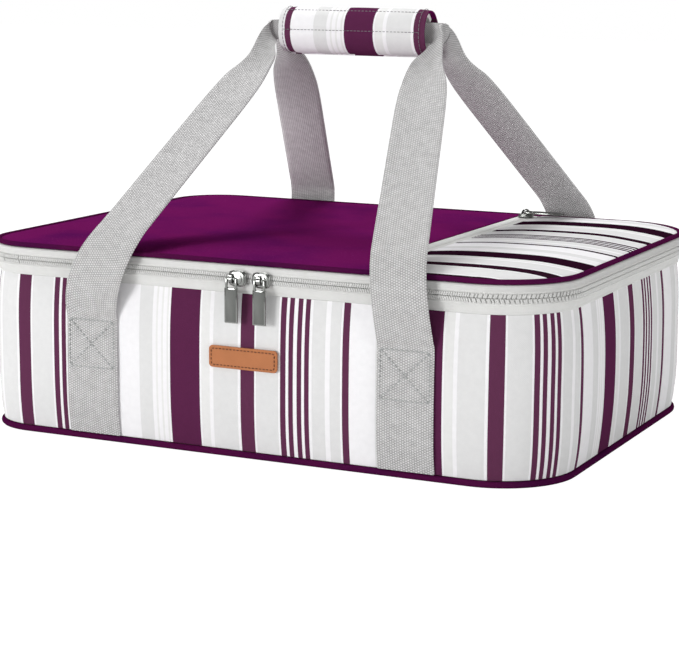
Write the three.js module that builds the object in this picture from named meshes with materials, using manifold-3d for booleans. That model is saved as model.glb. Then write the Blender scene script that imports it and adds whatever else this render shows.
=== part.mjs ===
// Soft insulated casserole carrier: zipped lid, lid pocket, webbing handles and a wrapped grip.
import * as THREE from 'three';
import { mergeVertices } from 'three/addons/utils/BufferGeometryUtils.js';
import Module from 'manifold-3d';

const wasm = await Module();
wasm.setup();

// Case, millimetres. The plan outline is the wall at its fullest.
const LENGTH = 400;
const DEPTH = 300;
const HEIGHT = 125;
// The soft corners stand rounder at the right end than at the left.
const CORNER_R = 52;
const CORNER_L = 38;
const CORNER_STEPS = 6;
const GAP = 0.3;
const CLOTH = 1.2;
const RIM_H = 11.2;
const BAND_H = 10.1;
const ZIP_Z = HEIGHT - RIM_H;
const WALL_Z0 = 4.6;
const WALL_Z1 = ZIP_Z - BAND_H;
const SEAM_TUCK = 3;
const FOAM = 7.5;
const LINER = 0.8;
const PIPING_R = 1.6;
const BINDING_R = 2.3;

// Bottom layers.
const BOARD = 2;
const BOTTOM_FOAM = 5.3;

// Zip round the lid.
const TAPE = 1.4;
const COIL_H = 2;
const COIL_U0 = 0.4;
const COIL_U1 = 1.6;

// Lid.
const LID_PIPING_Z = HEIGHT - PIPING_R;
const RIM_TOP = LID_PIPING_Z - PIPING_R - GAP;
const RIM_TUCK = 1.2;
const LID_INSET = 2 * PIPING_R + 0.4;
const LID_CLOTH_Z = LID_PIPING_Z - 0.9;
const BACKING = 0.6;
const LID_CROWN = 2;
const CROWN_RUN = [[LID_INSET, 0], [8, 0.5], [16, 0.82], [26, 1]];
const POCKET_X = 80;
const POCKET_TAPE_W = 2.6;
const POCKET_COIL_W = 1.25;

// Webbing.
const WEB_W = 37;
const WEB_T = 1.7;
const WEB_X = 109;
const SEWN_TOP = 0.638 * HEIGHT;
// How far the webbing bows out from the wall before it turns over the lid.
const BOW_LOW = 6;
const BOW_HIGH = 19;
const BEND_RUN = 34;
// How far each strap leans to the middle where it passes the lid, left and right.
const FRONT_LEAN = [20, 0];
const BACK_LEAN = [0, 8];

// Patch on the front.
const PATCH_W = 47.5;
const PATCH_H = 13.8;
const PATCH_Z = 0.51 * HEIGHT;
const PATCH_T = 1.5;

// Sliders and pulls.
const SLIDER_MID = 3.8;
const SLIDER_X = 9.7;
const PLATE_L = 11;
const PLATE_H = 9.4;
const PLATE_U0 = 2;
const PLATE_U1 = 4.2;
const BAIL_U1 = 8;
const BAIL_W = 3;
const PULL_W = 9;
const PULL_L = 27.5;
const PULL_T = 1.4;
const PULL_U = 5.4;
const POCKET_SLIDER_Y = DEPTH / 2 - 26;
const POCKET_Z = LID_CLOTH_Z + LID_CROWN + 0.9 - COIL_U1;

// Grip.
const GRIP_L = 106;
const GRIP_X = 4.5;
const GRIP_RISE = 134;
const GRIP_Z = HEIGHT + GRIP_RISE;
const GRIP_HALF_H = 15;
const GRIP_HALF_D = 12;
const WRAP_T = 1.5;
const PAD_T = 3;
const WRAP_END = 140;
const RUN_Y = 2.3;
const RUN_W = 14;
const RUN_T = 3.2;
const FLAP_T = 1.4;
const FLAP_SPAN = 108;
const STRIP_T = 0.9;
const STRIP_SPAN = 24;
const STRIP_MARGIN = 8;

const rad = THREE.MathUtils.degToRad;
const group = new THREE.Group();

function addNode(name, geometry, color, roughness = 0.85, metalness = 0) {
  const material = new THREE.MeshStandardMaterial({ color, roughness, metalness });
  const mesh = new THREE.Mesh(geometry, material);
  mesh.name = name;
  group.add(mesh);
}

// A closed body from points and triangles, turned to face out.
function body(points, faces) {
  let volume = 0;
  for (const [a, b, c] of faces) {
    volume += points[a].dot(points[b].clone().cross(points[c]));
  }
  const order = volume < 0 ? (f) => [f[0], f[2], f[1]] : (f) => f;
  const geometry = new THREE.BufferGeometry();
  const flat = points.flatMap((p) => [p.x, p.y, p.z]);
  geometry.setAttribute('position', new THREE.Float32BufferAttribute(flat, 3));
  geometry.setIndex(faces.flatMap(order));
  geometry.computeVertexNormals();
  return geometry;
}

// Sections of equal point count skinned into one body, either closed on itself or capped.
function loft(sections, closed = false) {
  const m = sections[0].length;
  const n = sections.length;
  const faces = [];
  const last = closed ? n : n - 1;
  for (let i = 0; i < last; i++) {
    for (let j = 0; j < m; j++) {
      const a = i * m + j;
      const b = i * m + (j + 1) % m;
      const c = ((i + 1) % n) * m + (j + 1) % m;
      const d = ((i + 1) % n) * m + j;
      faces.push([a, d, c], [a, c, b]);
    }
  }
  return { points: sections.flat(), faces, m, n };
}

// The case outline, counter-clockwise from the right end of the back right corner.
function planOutline() {
  const stations = [];
  const corners = [[1, 1, 0], [-1, 1, 90], [-1, -1, 180], [1, -1, 270]];
  for (const [sx, sy, start] of corners) {
    for (let i = 0; i <= CORNER_STEPS; i++) {
      const a = rad(start + 90 * i / CORNER_STEPS);
      const r = sx > 0 ? CORNER_R : CORNER_L;
      const cx = sx * (LENGTH / 2 - r);
      const cy = sy * (DEPTH / 2 - r);
      const nx = Math.cos(a);
      const ny = Math.sin(a);
      stations.push({ x: cx + r * nx, y: cy + r * ny, nx, ny });
    }
  }
  return stations;
}

const OUTLINE = planOutline();
const CORNER_N = CORNER_STEPS + 1;
// The zip runs round everything but the straight part of the back.
const ZIP_PATH = [...OUTLINE.slice(CORNER_N), ...OUTLINE.slice(0, CORNER_N)];
const BACK_ENDS = [LENGTH / 2 - CORNER_R - GAP, CORNER_L + GAP - LENGTH / 2];
const BACK_PATH = BACK_ENDS.map((x) => ({ x, y: DEPTH / 2, nx: 0, ny: 1 }));

// A point at an outward offset from a station of the outline.
const offsetAt = (s, u, z) => new THREE.Vector3(s.x + s.nx * u, s.y + s.ny * u, z);

// Sweeps a profile of (outward offset, height) along the outline.
function sweep(stations, profile, closed) {
  const sections = stations.map((s) => profile.map(([u, z]) => offsetAt(s, u, z)));
  const { points, faces, m, n } = loft(sections, closed);
  if (!closed) {
    const flat = profile.map(([u, z]) => new THREE.Vector2(u, z));
    for (const [a, b, c] of THREE.ShapeUtils.triangulateShape(flat, [])) {
      faces.push([a, b, c], [(n - 1) * m + a, (n - 1) * m + c, (n - 1) * m + b]);
    }
  }
  return body(points, faces);
}

// Stacked outlines of (inset, height), capped flat at both ends.
function stack(levels) {
  const sections = levels.map(([inset, z]) => OUTLINE.map((s) => offsetAt(s, -inset, z)));
  const { points, faces, m, n } = loft(sections);
  for (let j = 1; j < m - 1; j++) {
    faces.push([0, j, j + 1], [(n - 1) * m, (n - 1) * m + j + 1, (n - 1) * m + j]);
  }
  return body(points, faces);
}

const plate = (inset, z0, z1) => stack([[inset, z0], [inset, z1]]);

// How far the padded lid has risen at an inset from the outline.
function crownAt(inset) {
  let height = 0;
  for (let i = 1; i < CROWN_RUN.length; i++) {
    const [[a, ha], [b, hb]] = [CROWN_RUN[i - 1], CROWN_RUN[i]];
    height += (hb - ha) * THREE.MathUtils.clamp((inset - a) / (b - a), 0, 1);
  }
  return LID_CROWN * height;
}

// Insets from an edge to the level middle of the lid.
const crownRun = (inset) => [inset, ...CROWN_RUN.map(([i]) => i).filter((i) => i > inset)];

// A sheet over the padded lid.
function crowned(inset, z0, z1) {
  const under = crownRun(inset).map((i) => [i, z0 + crownAt(i)]).reverse();
  return stack([...under, ...crownRun(inset).map((i) => [i, z1 + crownAt(i)])]);
}

// The part of the lid's cover between two cross lines.
function lidSheet(x0, x1, thick) {
  const tall = thick + LID_CROWN + 2;
  const box = new THREE.BoxGeometry(x1 - x0, DEPTH, tall);
  box.translate((x0 + x1) / 2, 0, LID_CLOTH_Z - 1 + tall / 2);
  const cover = crowned(LID_INSET, LID_CLOTH_Z, LID_CLOTH_Z + thick);
  return toGeometry(toManifold(cover).intersect(toManifold(box)));
}

function toManifold(geometry) {
  const bare = geometry.clone();
  bare.deleteAttribute('normal');
  bare.deleteAttribute('uv');
  const merged = mergeVertices(bare, 1e-5);
  const vertProperties = new Float32Array(merged.attributes.position.array);
  const triVerts = new Uint32Array(merged.index.array);
  return new wasm.Manifold(new wasm.Mesh({ numProp: 3, vertProperties, triVerts }));
}

function toGeometry(solid) {
  const mesh = solid.getMesh();
  const geometry = new THREE.BufferGeometry();
  geometry.setAttribute('position', new THREE.Float32BufferAttribute(mesh.vertProperties, 3));
  geometry.setIndex(Array.from(mesh.triVerts));
  geometry.computeVertexNormals();
  return geometry;
}

// A flat shape of (a, b) points raised by a depth.
function prism(points, depth, holes = []) {
  const shape = new THREE.Shape(points.map(([a, b]) => new THREE.Vector2(a, b)));
  for (const hole of holes) {
    shape.holes.push(new THREE.Path(hole.map(([a, b]) => new THREE.Vector2(a, b))));
  }
  return new THREE.ExtrudeGeometry(shape, { depth, bevelEnabled: false });
}

function roundRect(w, h, r, steps = 3) {
  const points = [];
  for (const [sx, sy, start] of [[1, 1, 0], [-1, 1, 90], [-1, -1, 180], [1, -1, 270]]) {
    for (let i = 0; i <= steps; i++) {
      const a = rad(start + 90 * i / steps);
      points.push([sx * (w / 2 - r) + r * Math.cos(a), sy * (h / 2 - r) + r * Math.sin(a)]);
    }
  }
  return points;
}

// How far the wall is pulled in at a height.
function tuck(z) {
  const t = (z - WALL_Z0) / (WALL_Z1 - WALL_Z0);
  return SEAM_TUCK * (2 * t - 1) ** 4;
}

function wallLevels(z0, z1, count) {
  return Array.from({ length: count + 1 }, (_, i) => z0 + (z1 - z0) * i / count);
}

function bead(u, z, r) {
  return Array.from({ length: 8 }, (_, i) => {
    const a = rad(22.5 + 45 * i);
    return [u + r * Math.cos(a), z + r * Math.sin(a)];
  });
}

// Wall: striped cover, insulation and liner.
const levels = wallLevels(WALL_Z0, WALL_Z1, 7);
const coverOut = levels.map((z) => [-tuck(z), z]);
const coverIn = levels.map((z) => [-tuck(z) - CLOTH, z]).reverse();
addNode('outer_wall', sweep(OUTLINE, [...coverOut, ...coverIn], true), 0xe7e7e6);

const foamInset = SEAM_TUCK + FOAM;
const foamTop = ZIP_Z - TAPE;
const foamLevels = wallLevels(WALL_Z0 + 2 * GAP, WALL_Z1, 5);
const foamOut = foamLevels.map((z) => [-tuck(z) - CLOTH - GAP, z]);
const foamEdge = SEAM_TUCK + CLOTH + 2 * GAP;
const foamProfile = [...foamOut, [-foamEdge, foamTop], [-foamInset, foamTop], [-foamInset, foamLevels[0]]];
addNode('wall_insulation', sweep(OUTLINE, foamProfile, true), 0xf4f4f0);

const boardZ = CLOTH + GAP;
const bottomFoamZ = boardZ + BOARD + GAP;
const floorZ = bottomFoamZ + BOTTOM_FOAM + GAP;
const linerU = -foamInset - GAP;
const linerTop = foamTop + GAP;
const linerProfile = [
  [linerU, floorZ], [linerU, linerTop], [-TAPE - 2 * GAP, linerTop], [-TAPE - 2 * GAP, linerTop + LINER],
  [linerU - LINER, linerTop + LINER], [linerU - LINER, floorZ],
];
addNode('wall_liner', sweep(OUTLINE, linerProfile, true), 0xd6d8da, 0.35, 0.3);

// Bottom: outer panel, edge piping, stiffening board, insulation and floor liner.
const bindingU = -SEAM_TUCK;
const bottomInset = -bindingU + BINDING_R + GAP;
addNode('bottom_panel', plate(bottomInset, 0, CLOTH), 0x441a37);
const bottomBead = bead(bindingU, BINDING_R * Math.cos(rad(22.5)), BINDING_R);
addNode('bottom_piping', sweep(OUTLINE, bottomBead, true), 0x441a37);
addNode('base_board', plate(bottomInset, boardZ, boardZ + BOARD), 0x8a7a60);
addNode('bottom_insulation', plate(foamInset + GAP, bottomFoamZ, bottomFoamZ + BOTTOM_FOAM), 0xf4f4f0);
addNode('floor_liner', plate(foamInset + 2 * GAP + LINER, floorZ, floorZ + LINER), 0xd6d8da, 0.35, 0.3);

// Zip tapes, coils and the back hinge strips.
const tapeZ0 = WALL_Z1 + GAP;
const half = GAP / 2;
const lowerTape = [
  [-SEAM_TUCK, tapeZ0], [0, ZIP_Z - 2], [0, ZIP_Z - half],
  [-TAPE, ZIP_Z - half], [-TAPE, ZIP_Z - 2], [-SEAM_TUCK - TAPE, tapeZ0],
];
const upperTape = [
  [0, ZIP_Z + half], [-RIM_TUCK, RIM_TOP], [-RIM_TUCK - TAPE, RIM_TOP], [-TAPE, ZIP_Z + half],
];
const coil = (z0) => [[COIL_U1, z0], [COIL_U1, z0 + COIL_H], [COIL_U0, z0 + COIL_H], [COIL_U0, z0]];
addNode('lower_zip_tape', sweep(ZIP_PATH, lowerTape, false), 0xdedfdb);
addNode('lower_zip_coil', sweep(ZIP_PATH, coil(ZIP_Z - half - COIL_H), false), 0xc9cac8);
addNode('hinge_strip', sweep(BACK_PATH, lowerTape, false), 0xdedfdb);
addNode('upper_zip_tape', sweep(ZIP_PATH, upperTape, false), 0xdedfdb);
addNode('upper_zip_coil', sweep(ZIP_PATH, coil(ZIP_Z + half), false), 0xc9cac8);
addNode('lid_back_strip', sweep(BACK_PATH, upperTape, false), 0xdedfdb);

// Lid: piping, plum panel, striped pocket panel, backing, insulation and liner.
addNode('lid_piping', sweep(OUTLINE, bead(-PIPING_R, LID_PIPING_Z, PIPING_R), true), 0x5a1049);
const panelEdge = POCKET_COIL_W + POCKET_TAPE_W + 2 * GAP + half;
const far = LENGTH / 2 + 1;
addNode('lid_panel', lidSheet(-far, POCKET_X - panelEdge, CLOTH), 0x5e114b);
addNode('pocket_panel', lidSheet(POCKET_X + panelEdge, far, CLOTH), 0xe7e7e6);
for (const [side, s] of [['left', -1], ['right', 1]]) {
  const row = (from, width) => {
    const ends = [POCKET_X + s * from, POCKET_X + s * (from + width)];
    return lidSheet(Math.min(...ends), Math.max(...ends), 0.9);
  };
  addNode(`pocket_tape_${side}`, row(half + POCKET_COIL_W + GAP, POCKET_TAPE_W), 0xdedfdb);
  addNode(`pocket_coil_${side}`, row(half, POCKET_COIL_W), 0xc9cac8);
}
const backingZ = LID_CLOTH_Z - GAP - BACKING;
const lidLinerZ = ZIP_Z + 2 * GAP;
const lidFoamZ = lidLinerZ + LINER + GAP;
const rimIn = RIM_TUCK + TAPE;
addNode('lid_backing', crowned(LID_INSET + BACKING, backingZ, LID_CLOTH_Z - GAP), 0x5e114b);
addNode('lid_insulation', stack([
  [rimIn - 0.4, lidFoamZ], [rimIn + GAP, RIM_TOP - 1.5],
  ...crownRun(LID_INSET + BACKING).map((i) => [i, backingZ - GAP + crownAt(i)]),
]), 0xf4f4f0);
addNode('lid_liner', plate(rimIn, lidLinerZ, lidLinerZ + LINER), 0xd6d8da, 0.35, 0.3);

// Webbing through stations of centre, width direction and normal, with shares of its width and thickness.
function ribbon(stations) {
  const ring = [[1, 1], [-1, 1], [-1, -1], [1, -1]];
  const sections = stations.map(({ p, w, t, width, thick }) => ring.map(([a, b]) => (
    p.clone().addScaledVector(w, a * width * WEB_W / 2).addScaledVector(t, b * thick * WEB_T / 2)
  )));
  const { points, faces, m, n } = loft(sections);
  const k = (n - 1) * m;
  faces.push([0, 1, 2], [0, 2, 3], [k, k + 2, k + 1], [k, k + 3, k + 2]);
  return body(points, faces);
}

const X_DIR = new THREE.Vector3(1, 0, 0);
const Z_DIR = new THREE.Vector3(0, 0, 1);
const faceY = (u) => -DEPTH / 2 - u;
const onWall = (z) => GAP + WEB_T / 2 - tuck(z);

// One sewn strap end on the front or the back wall.
function strapFoot(sx, face) {
  const rise = wallLevels(WALL_Z0 + GAP, SEWN_TOP, 6);
  return ribbon(rise.map((z) => ({
    p: new THREE.Vector3(sx * WEB_X, face * faceY(onWall(z)), z),
    w: X_DIR, t: new THREE.Vector3(0, 1, 0), width: 1, thick: 1,
  })));
}

// Half of a handle loop: up from the stitch line, over the lid and into one end of the grip.
function loopHalf(end, lean) {
  const start = SEWN_TOP + GAP;
  const foot = new THREE.Vector3(WEB_X, faceY(onWall(start)), start);
  const low = new THREE.Vector3(WEB_X, faceY(BOW_LOW), start + 16);
  const high = new THREE.Vector3(WEB_X - lean * 0.9, faceY(BOW_HIGH), HEIGHT - 5);
  const to = new THREE.Vector3(end + 5, -1.3 * GRIP_HALF_D, GRIP_Z - 0.8 * GRIP_HALF_H);
  const along = to.clone().sub(high).normalize();
  const from = high.clone().addScaledVector(along, BEND_RUN);
  const rise = new THREE.CubicBezierCurve3(foot, low, high, from);
  const stations = [0, 0.14, 0.28, 0.42, 0.55, 0.68, 0.84].map((k) => {
    const d = rise.getTangent(k);
    const w = k ? X_DIR.clone().addScaledVector(d, -d.x).normalize() : X_DIR;
    return { p: rise.getPoint(k), w, width: 1 - 0.05 * k, thick: 1 };
  });
  const legW = X_DIR.clone().addScaledVector(along, -along.x).normalize();
  const taper = [[0, 0.95, 1], [0.35, 0.93, 1], [0.6, 0.92, 1], [0.8, 0.84, 1.2], [0.95, 0.56, 1.5]];
  for (const [f, width, thick] of taper) {
    stations.push({ p: from.clone().lerp(to, f), w: legW, width, thick });
  }
  const turnW = legW.clone().multiplyScalar(0.55).addScaledVector(Z_DIR, 0.83).normalize();
  const fold = { width: RUN_W / WEB_W, thick: RUN_T / WEB_T };
  const turn = new THREE.Vector3(end + 6.5, -0.7 * GRIP_HALF_D, GRIP_Z - GRIP_HALF_H / 6);
  stations.push({ p: turn, w: turnW, ...fold });
  stations.push({ p: new THREE.Vector3(end - 4, -RUN_Y, GRIP_Z), w: Z_DIR, ...fold });
  return stations;
}

// A whole handle loop, front or back.
function handleLoop(face, lean) {
  const right = loopHalf(GRIP_L / 2 + GRIP_X, lean[1]);
  const left = loopHalf(GRIP_L / 2 - GRIP_X, lean[0]).map((s) => ({
    ...s,
    p: new THREE.Vector3(-s.p.x, s.p.y, s.p.z),
    w: new THREE.Vector3(-s.w.x, s.w.y, s.w.z),
  })).reverse();
  const all = [...right, ...left];
  all.forEach((s, i) => {
    const before = all[Math.max(i - 1, 0)].p;
    const after = all[Math.min(i + 1, all.length - 1)].p;
    const d = after.clone().sub(before);
    s.t = d.cross(s.w).normalize();
  });
  return ribbon(all.map((s) => ({
    ...s,
    p: new THREE.Vector3(s.p.x, face * s.p.y, s.p.z),
    w: new THREE.Vector3(s.w.x, face * s.w.y, s.w.z),
    t: new THREE.Vector3(s.t.x, face * s.t.y, s.t.z),
  })));
}

for (const [where, face, lean] of [['front', 1, FRONT_LEAN], ['back', -1, BACK_LEAN]]) {
  addNode(`${where}_strap_foot_left`, strapFoot(-1, face), 0xc4c6c8);
  addNode(`${where}_strap_foot_right`, strapFoot(1, face), 0xc4c6c8);
  addNode(`${where}_loop`, handleLoop(face, lean), 0xc4c6c8);
}

// Bare leather patch on the front wall.
const standing = new THREE.Matrix4().makeBasis(X_DIR, Z_DIR, new THREE.Vector3(0, -1, 0));
const patch = prism(roundRect(PATCH_W, PATCH_H, 2.5), PATCH_T).applyMatrix4(standing);
patch.translate(0, faceY(GAP), PATCH_Z);
addNode('patch', patch, 0xb1734e);

// Sliders in a local frame: along the zip, across it, out of it.
function slider(withFlange) {
  const nose = PLATE_L / 2;
  const high = PLATE_H / 2;
  const face = prism([
    [-nose, -high * 0.6], [-nose * 0.4, -high], [nose * 0.4, -high], [nose, -high * 0.6],
    [nose, high * 0.6], [nose * 0.4, high], [-nose * 0.4, high], [-nose, high * 0.6],
  ], PLATE_U1 - PLATE_U0).translate(0, 0, PLATE_U0);
  const eye = roundRect(3.8, 2.6, 0.9).reverse();
  const arch = prism(roundRect(6.6, BAIL_U1 - PLATE_U0 - 0.6, 1.6), BAIL_W, [eye]);
  arch.translate(0, 0, -BAIL_W / 2);
  arch.applyMatrix4(new THREE.Matrix4().makeBasis(new THREE.Vector3(0, 1, 0), Z_DIR, X_DIR));
  arch.translate(0, 0, PULL_U);
  let solid = toManifold(face).add(toManifold(arch));
  if (withFlange) {
    const lip = new THREE.BoxGeometry(PLATE_L * 0.4, 1, PLATE_U0 + 0.5);
    lip.translate(0, -high + 0.5, PLATE_U0 / 2 + 0.75);
    solid = solid.add(toManifold(lip));
  }
  return toGeometry(solid);
}

// Flat pull with a window at the top that holds the bail.
function pull() {
  const top = 0.85;
  const side = [
    [0.36 * PULL_W, top], [0.43 * PULL_W, top - 0.8], [PULL_W / 2, -PULL_L / 3],
    [PULL_W / 2, -PULL_L + 2.5], [PULL_W / 2 - 2, -PULL_L],
  ];
  const outline = [...side, ...side.map(([a, b]) => [-a, b]).reverse()].reverse();
  const windowHole = [[-2.4, -0.8], [2.4, -0.8], [2.4, -5.6], [-2.4, -5.6]];
  return prism(outline, PULL_T, [windowHole]).translate(0, 0, PULL_U - PULL_T / 2);
}

// A slider and its pull at a place on a zip.
function addSlider(names, basis, place, withFlange) {
  const pieces = [slider(withFlange), pull()];
  names.forEach((name, i) => {
    addNode(name, pieces[i].applyMatrix4(basis).translate(...place), 0x70726f, 0.35, 0.9);
  });
}

for (const [side, s] of [['left', -1], ['right', 1]]) {
  const place = [SLIDER_MID + s * SLIDER_X, -DEPTH / 2, ZIP_Z];
  addSlider([`zip_slider_${side}`, `zip_pull_${side}`], standing, place, true);
}
const lying = new THREE.Matrix4().makeBasis(new THREE.Vector3(0, 1, 0), new THREE.Vector3(-1, 0, 0), Z_DIR);
addSlider(['pocket_slider', 'pocket_pull'], lying, [POCKET_X, POCKET_SLIDER_Y, POCKET_Z], false);

// A curved strip of the grip's section: angles from the front over the top, offsets from its outside.
function gripSector(a0, a1, outer, inner, length, steps = 12) {
  const at = (a, off) => [
    -(GRIP_HALF_D + off) * Math.cos(rad(a)),
    GRIP_Z + (GRIP_HALF_H + off) * Math.sin(rad(a)),
  ];
  const ring = Array.from({ length: steps + 1 }, (_, i) => i / steps);
  const out = ring.map((f) => at(a0 + (a1 - a0) * f, outer(f)));
  const back = ring.map((f) => at(a0 + (a1 - a0) * f, inner(f))).reverse();
  const toX = new THREE.Matrix4().makeBasis(new THREE.Vector3(0, 1, 0), Z_DIR, X_DIR);
  return prism([...out, ...back], length).translate(0, 0, GRIP_X - length / 2).applyMatrix4(toX);
}

const level = (off) => () => off;
const flapLift = GAP + 2 * (STRIP_T + GAP);
addNode('grip_wrap', gripSector(-WRAP_END, WRAP_END, level(0), level(-WRAP_T), GRIP_L, 20), 0xf1f1f1);
const padOut = -WRAP_T - GAP;
const padding = gripSector(-WRAP_END, WRAP_END, level(padOut), level(padOut - PAD_T), GRIP_L - 6, 16);
addNode('grip_padding', padding, 0xf4f4f0);
const rise = (base) => (f) => base + (flapLift + FLAP_T) * Math.min(1, f / 0.6);
const flapA = WRAP_END + 2;
addNode('grip_flap', gripSector(flapA, flapA + FLAP_SPAN, rise(0), rise(-FLAP_T), GRIP_L, 10), 0xf1f1f1);
const stripA = 2 * 180 - WRAP_END + 3;
const stripL = GRIP_L - 2 * STRIP_MARGIN;
const stripB = stripA + STRIP_SPAN;
const strip = (inner) => gripSector(stripA, stripB, level(inner + STRIP_T), level(inner), stripL, 4);
addNode('loop_strip', strip(GAP), 0xd9d9d9);
addNode('hook_strip', strip(2 * GAP + STRIP_T), 0xcfcfcf);

export default group;
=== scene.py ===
"""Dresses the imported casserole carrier: padded striped cloth, zips, webbing, grip and studio."""

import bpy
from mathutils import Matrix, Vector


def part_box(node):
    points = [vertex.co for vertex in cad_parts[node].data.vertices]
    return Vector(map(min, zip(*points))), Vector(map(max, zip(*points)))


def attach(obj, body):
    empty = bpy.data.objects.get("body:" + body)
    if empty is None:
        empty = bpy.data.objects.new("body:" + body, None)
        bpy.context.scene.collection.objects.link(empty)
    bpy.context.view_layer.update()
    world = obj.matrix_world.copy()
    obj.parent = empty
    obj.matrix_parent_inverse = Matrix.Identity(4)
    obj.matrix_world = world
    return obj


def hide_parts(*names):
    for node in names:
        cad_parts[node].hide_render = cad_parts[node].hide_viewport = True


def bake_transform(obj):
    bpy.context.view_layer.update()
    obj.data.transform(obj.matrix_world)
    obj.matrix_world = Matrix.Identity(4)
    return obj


bl_info = {
    "name": "Casserole Carrier",
    "version": (1, 0, 0),
    "blender": (4, 5, 0),
    "location": "View3D > Sidebar > Carrier",
    "description": "Makes the cloth, zips, webbing and stage of a casserole carrier",
    "category": "Add Mesh",
}

import math

import bmesh
import bpy
from bpy.props import FloatProperty, FloatVectorProperty, PointerProperty
from mathutils import Matrix, Vector, noise

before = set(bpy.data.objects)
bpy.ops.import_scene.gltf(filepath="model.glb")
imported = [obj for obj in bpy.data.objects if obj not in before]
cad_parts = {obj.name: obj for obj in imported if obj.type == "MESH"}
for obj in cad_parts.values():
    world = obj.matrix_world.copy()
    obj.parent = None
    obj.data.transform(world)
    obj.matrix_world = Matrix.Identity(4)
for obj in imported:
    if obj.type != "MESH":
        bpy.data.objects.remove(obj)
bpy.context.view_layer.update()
MM = 0.001
ZIP_Z = (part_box("lower_zip_coil")[1].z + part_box("upper_zip_coil")[0].z) / 2
GRIP_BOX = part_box("grip_wrap")
GRIP_X = (GRIP_BOX[0].x + GRIP_BOX[1].x) / 2
GRIP_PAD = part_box("grip_padding")
GRIP_Z = (GRIP_PAD[0].z + GRIP_PAD[1].z) / 2
LID_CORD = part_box("lid_piping")
WALL_SPAN = (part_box("outer_wall")[0].z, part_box("outer_wall")[1].z)
# Thickness of the printed cloth.
CLOTH = 1.1 * MM
# Half of the grip's section, and its seams in degrees from the front over the top.
GRIP_DEEP = 12 * MM
GRIP_TALL = 15 * MM
GRIP_SEAMS = (2, 62)
# How far the lid's cloth stays inside the outline, and how much more tape shows beside the pocket zip.
LID_EDGE = 3.3 * MM
ZIP_SHOWS = 3.0 * MM
# Pitches of the weaves.
CANVAS_PITCH = 1.1 * MM
TWILL_PITCH = 1.3 * MM
WEB_PITCH = 1.6 * MM


def linear(red, green, blue):
    """A screen colour of 0 to 255 as linear light."""
    parts = [c / 255 for c in (red, green, blue)]
    return tuple(c / 12.92 if c <= 0.04045 else ((c + 0.055) / 1.055) ** 2.4 for c in parts)


def length_prop(name, description, default):
    """A size in metres."""
    return FloatProperty(
        name=name, description=description, default=default, min=0.0, unit="LENGTH", subtype="DISTANCE"
    )


def colour_prop(name, description, screen):
    """A colour, given as it looks on a screen."""
    return FloatVectorProperty(
        name=name, description=description, default=linear(*screen), subtype="COLOR", size=3, min=0.0, max=1.0
    )


class CARRIER_PG_sizes(bpy.types.PropertyGroup):
    """Sizes of the carrier's cloth and trim."""

    length: length_prop("Length", "Outside length of the case", 0.400)
    depth: length_prop("Depth", "Outside depth of the case", 0.300)
    corner_right: length_prop("Right corners", "Plan radius of the corners at the right end", 0.052)
    corner_left: length_prop("Left corners", "Plan radius of the corners at the left end", 0.038)
    tuck: length_prop("Seam tuck", "How far the wall is pulled in at its seams", 0.003)
    crown: length_prop("Lid crown", "How far the padded lid rises inside its piping", 0.0023)
    stripe: length_prop("Stripe repeat", "Width after which the stripes repeat", 0.1636)
    webbing: length_prop("Webbing width", "Width of the handle webbing", 0.037)
    webbing_thick: length_prop("Webbing thickness", "Thickness of the handle webbing", 0.0016)
    strap_x: length_prop("Strap place", "Distance of each strap from the middle", 0.109)
    sewn_top: length_prop("Sewn height", "Height of the line where the straps come free", 0.0797)
    tooth: length_prop("Zip pitch", "Distance between teeth of the zip", 0.0015)
    stitch: length_prop("Stitch pitch", "Distance from one stitch to the next", 0.0032)
    pocket_x: length_prop("Pocket zip place", "Distance of the pocket zip from the middle", 0.080)
    front_lean: length_prop("Front lean", "How far the front left strap leans in at the lid", 0.016)
    back_lean: length_prop("Back lean", "How far the back right strap leans in at the lid", 0.005)


class CARRIER_PG_colours(bpy.types.PropertyGroup):
    """Colours of the carrier's materials."""

    plum: colour_prop("Plum stripe", "Broad stripe of the printed cloth", (91, 40, 74))
    plum_thin: colour_prop("Thin plum stripe", "Narrow stripes of the printed cloth", (98, 52, 80))
    grey: colour_prop("Grey stripe", "Pale grey stripe", (229, 229, 229))
    pale: colour_prop("Pale stripe", "Palest grey stripe", (236, 236, 235))
    white: colour_prop("White ground", "Ground of the printed cloth", (248, 247, 249))
    lid: colour_prop("Lid plum", "Plum twill of the lid", (104, 20, 83))
    trim: colour_prop("Trim plum", "Piping and bottom", (78, 18, 62))
    tape: colour_prop("Zip tape", "Tape and binding of the zip", (222, 222, 220))
    coil: colour_prop("Zip coil", "Teeth of the zip", (212, 212, 210))
    webbing: colour_prop("Webbing", "Handle webbing", (207, 206, 206))
    leather: colour_prop("Leather", "Patch leather", (183, 117, 76))
    steel: colour_prop("Dark nickel", "Sliders and pulls", (150, 152, 149))
    foil: colour_prop("Foil", "Foil-faced lining", (152, 154, 158))
    thread: colour_prop("Thread", "Grey sewing thread", (176, 178, 178))
    dark_thread: colour_prop("Dark thread", "Thread of the grip", (122, 116, 122))
    patch_thread: colour_prop("Brown thread", "Thread of the patch", (96, 52, 30))
    steel_flat: colour_prop("Dull nickel", "Dull faces of the pulls", (104, 106, 103))
    foam: colour_prop("Foam", "Insulation", (244, 244, 240))
    board: colour_prop("Board", "Stiffening board", (138, 122, 96))
    hook_loop: colour_prop("Hook and loop", "Closing strips of the grip", (205, 205, 205))


def sizes():
    """The sizes set in this scene."""
    return bpy.context.scene.carrier_sizes


def colours():
    """The colours set in this scene."""
    return bpy.context.scene.carrier_colours


# Materials

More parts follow.
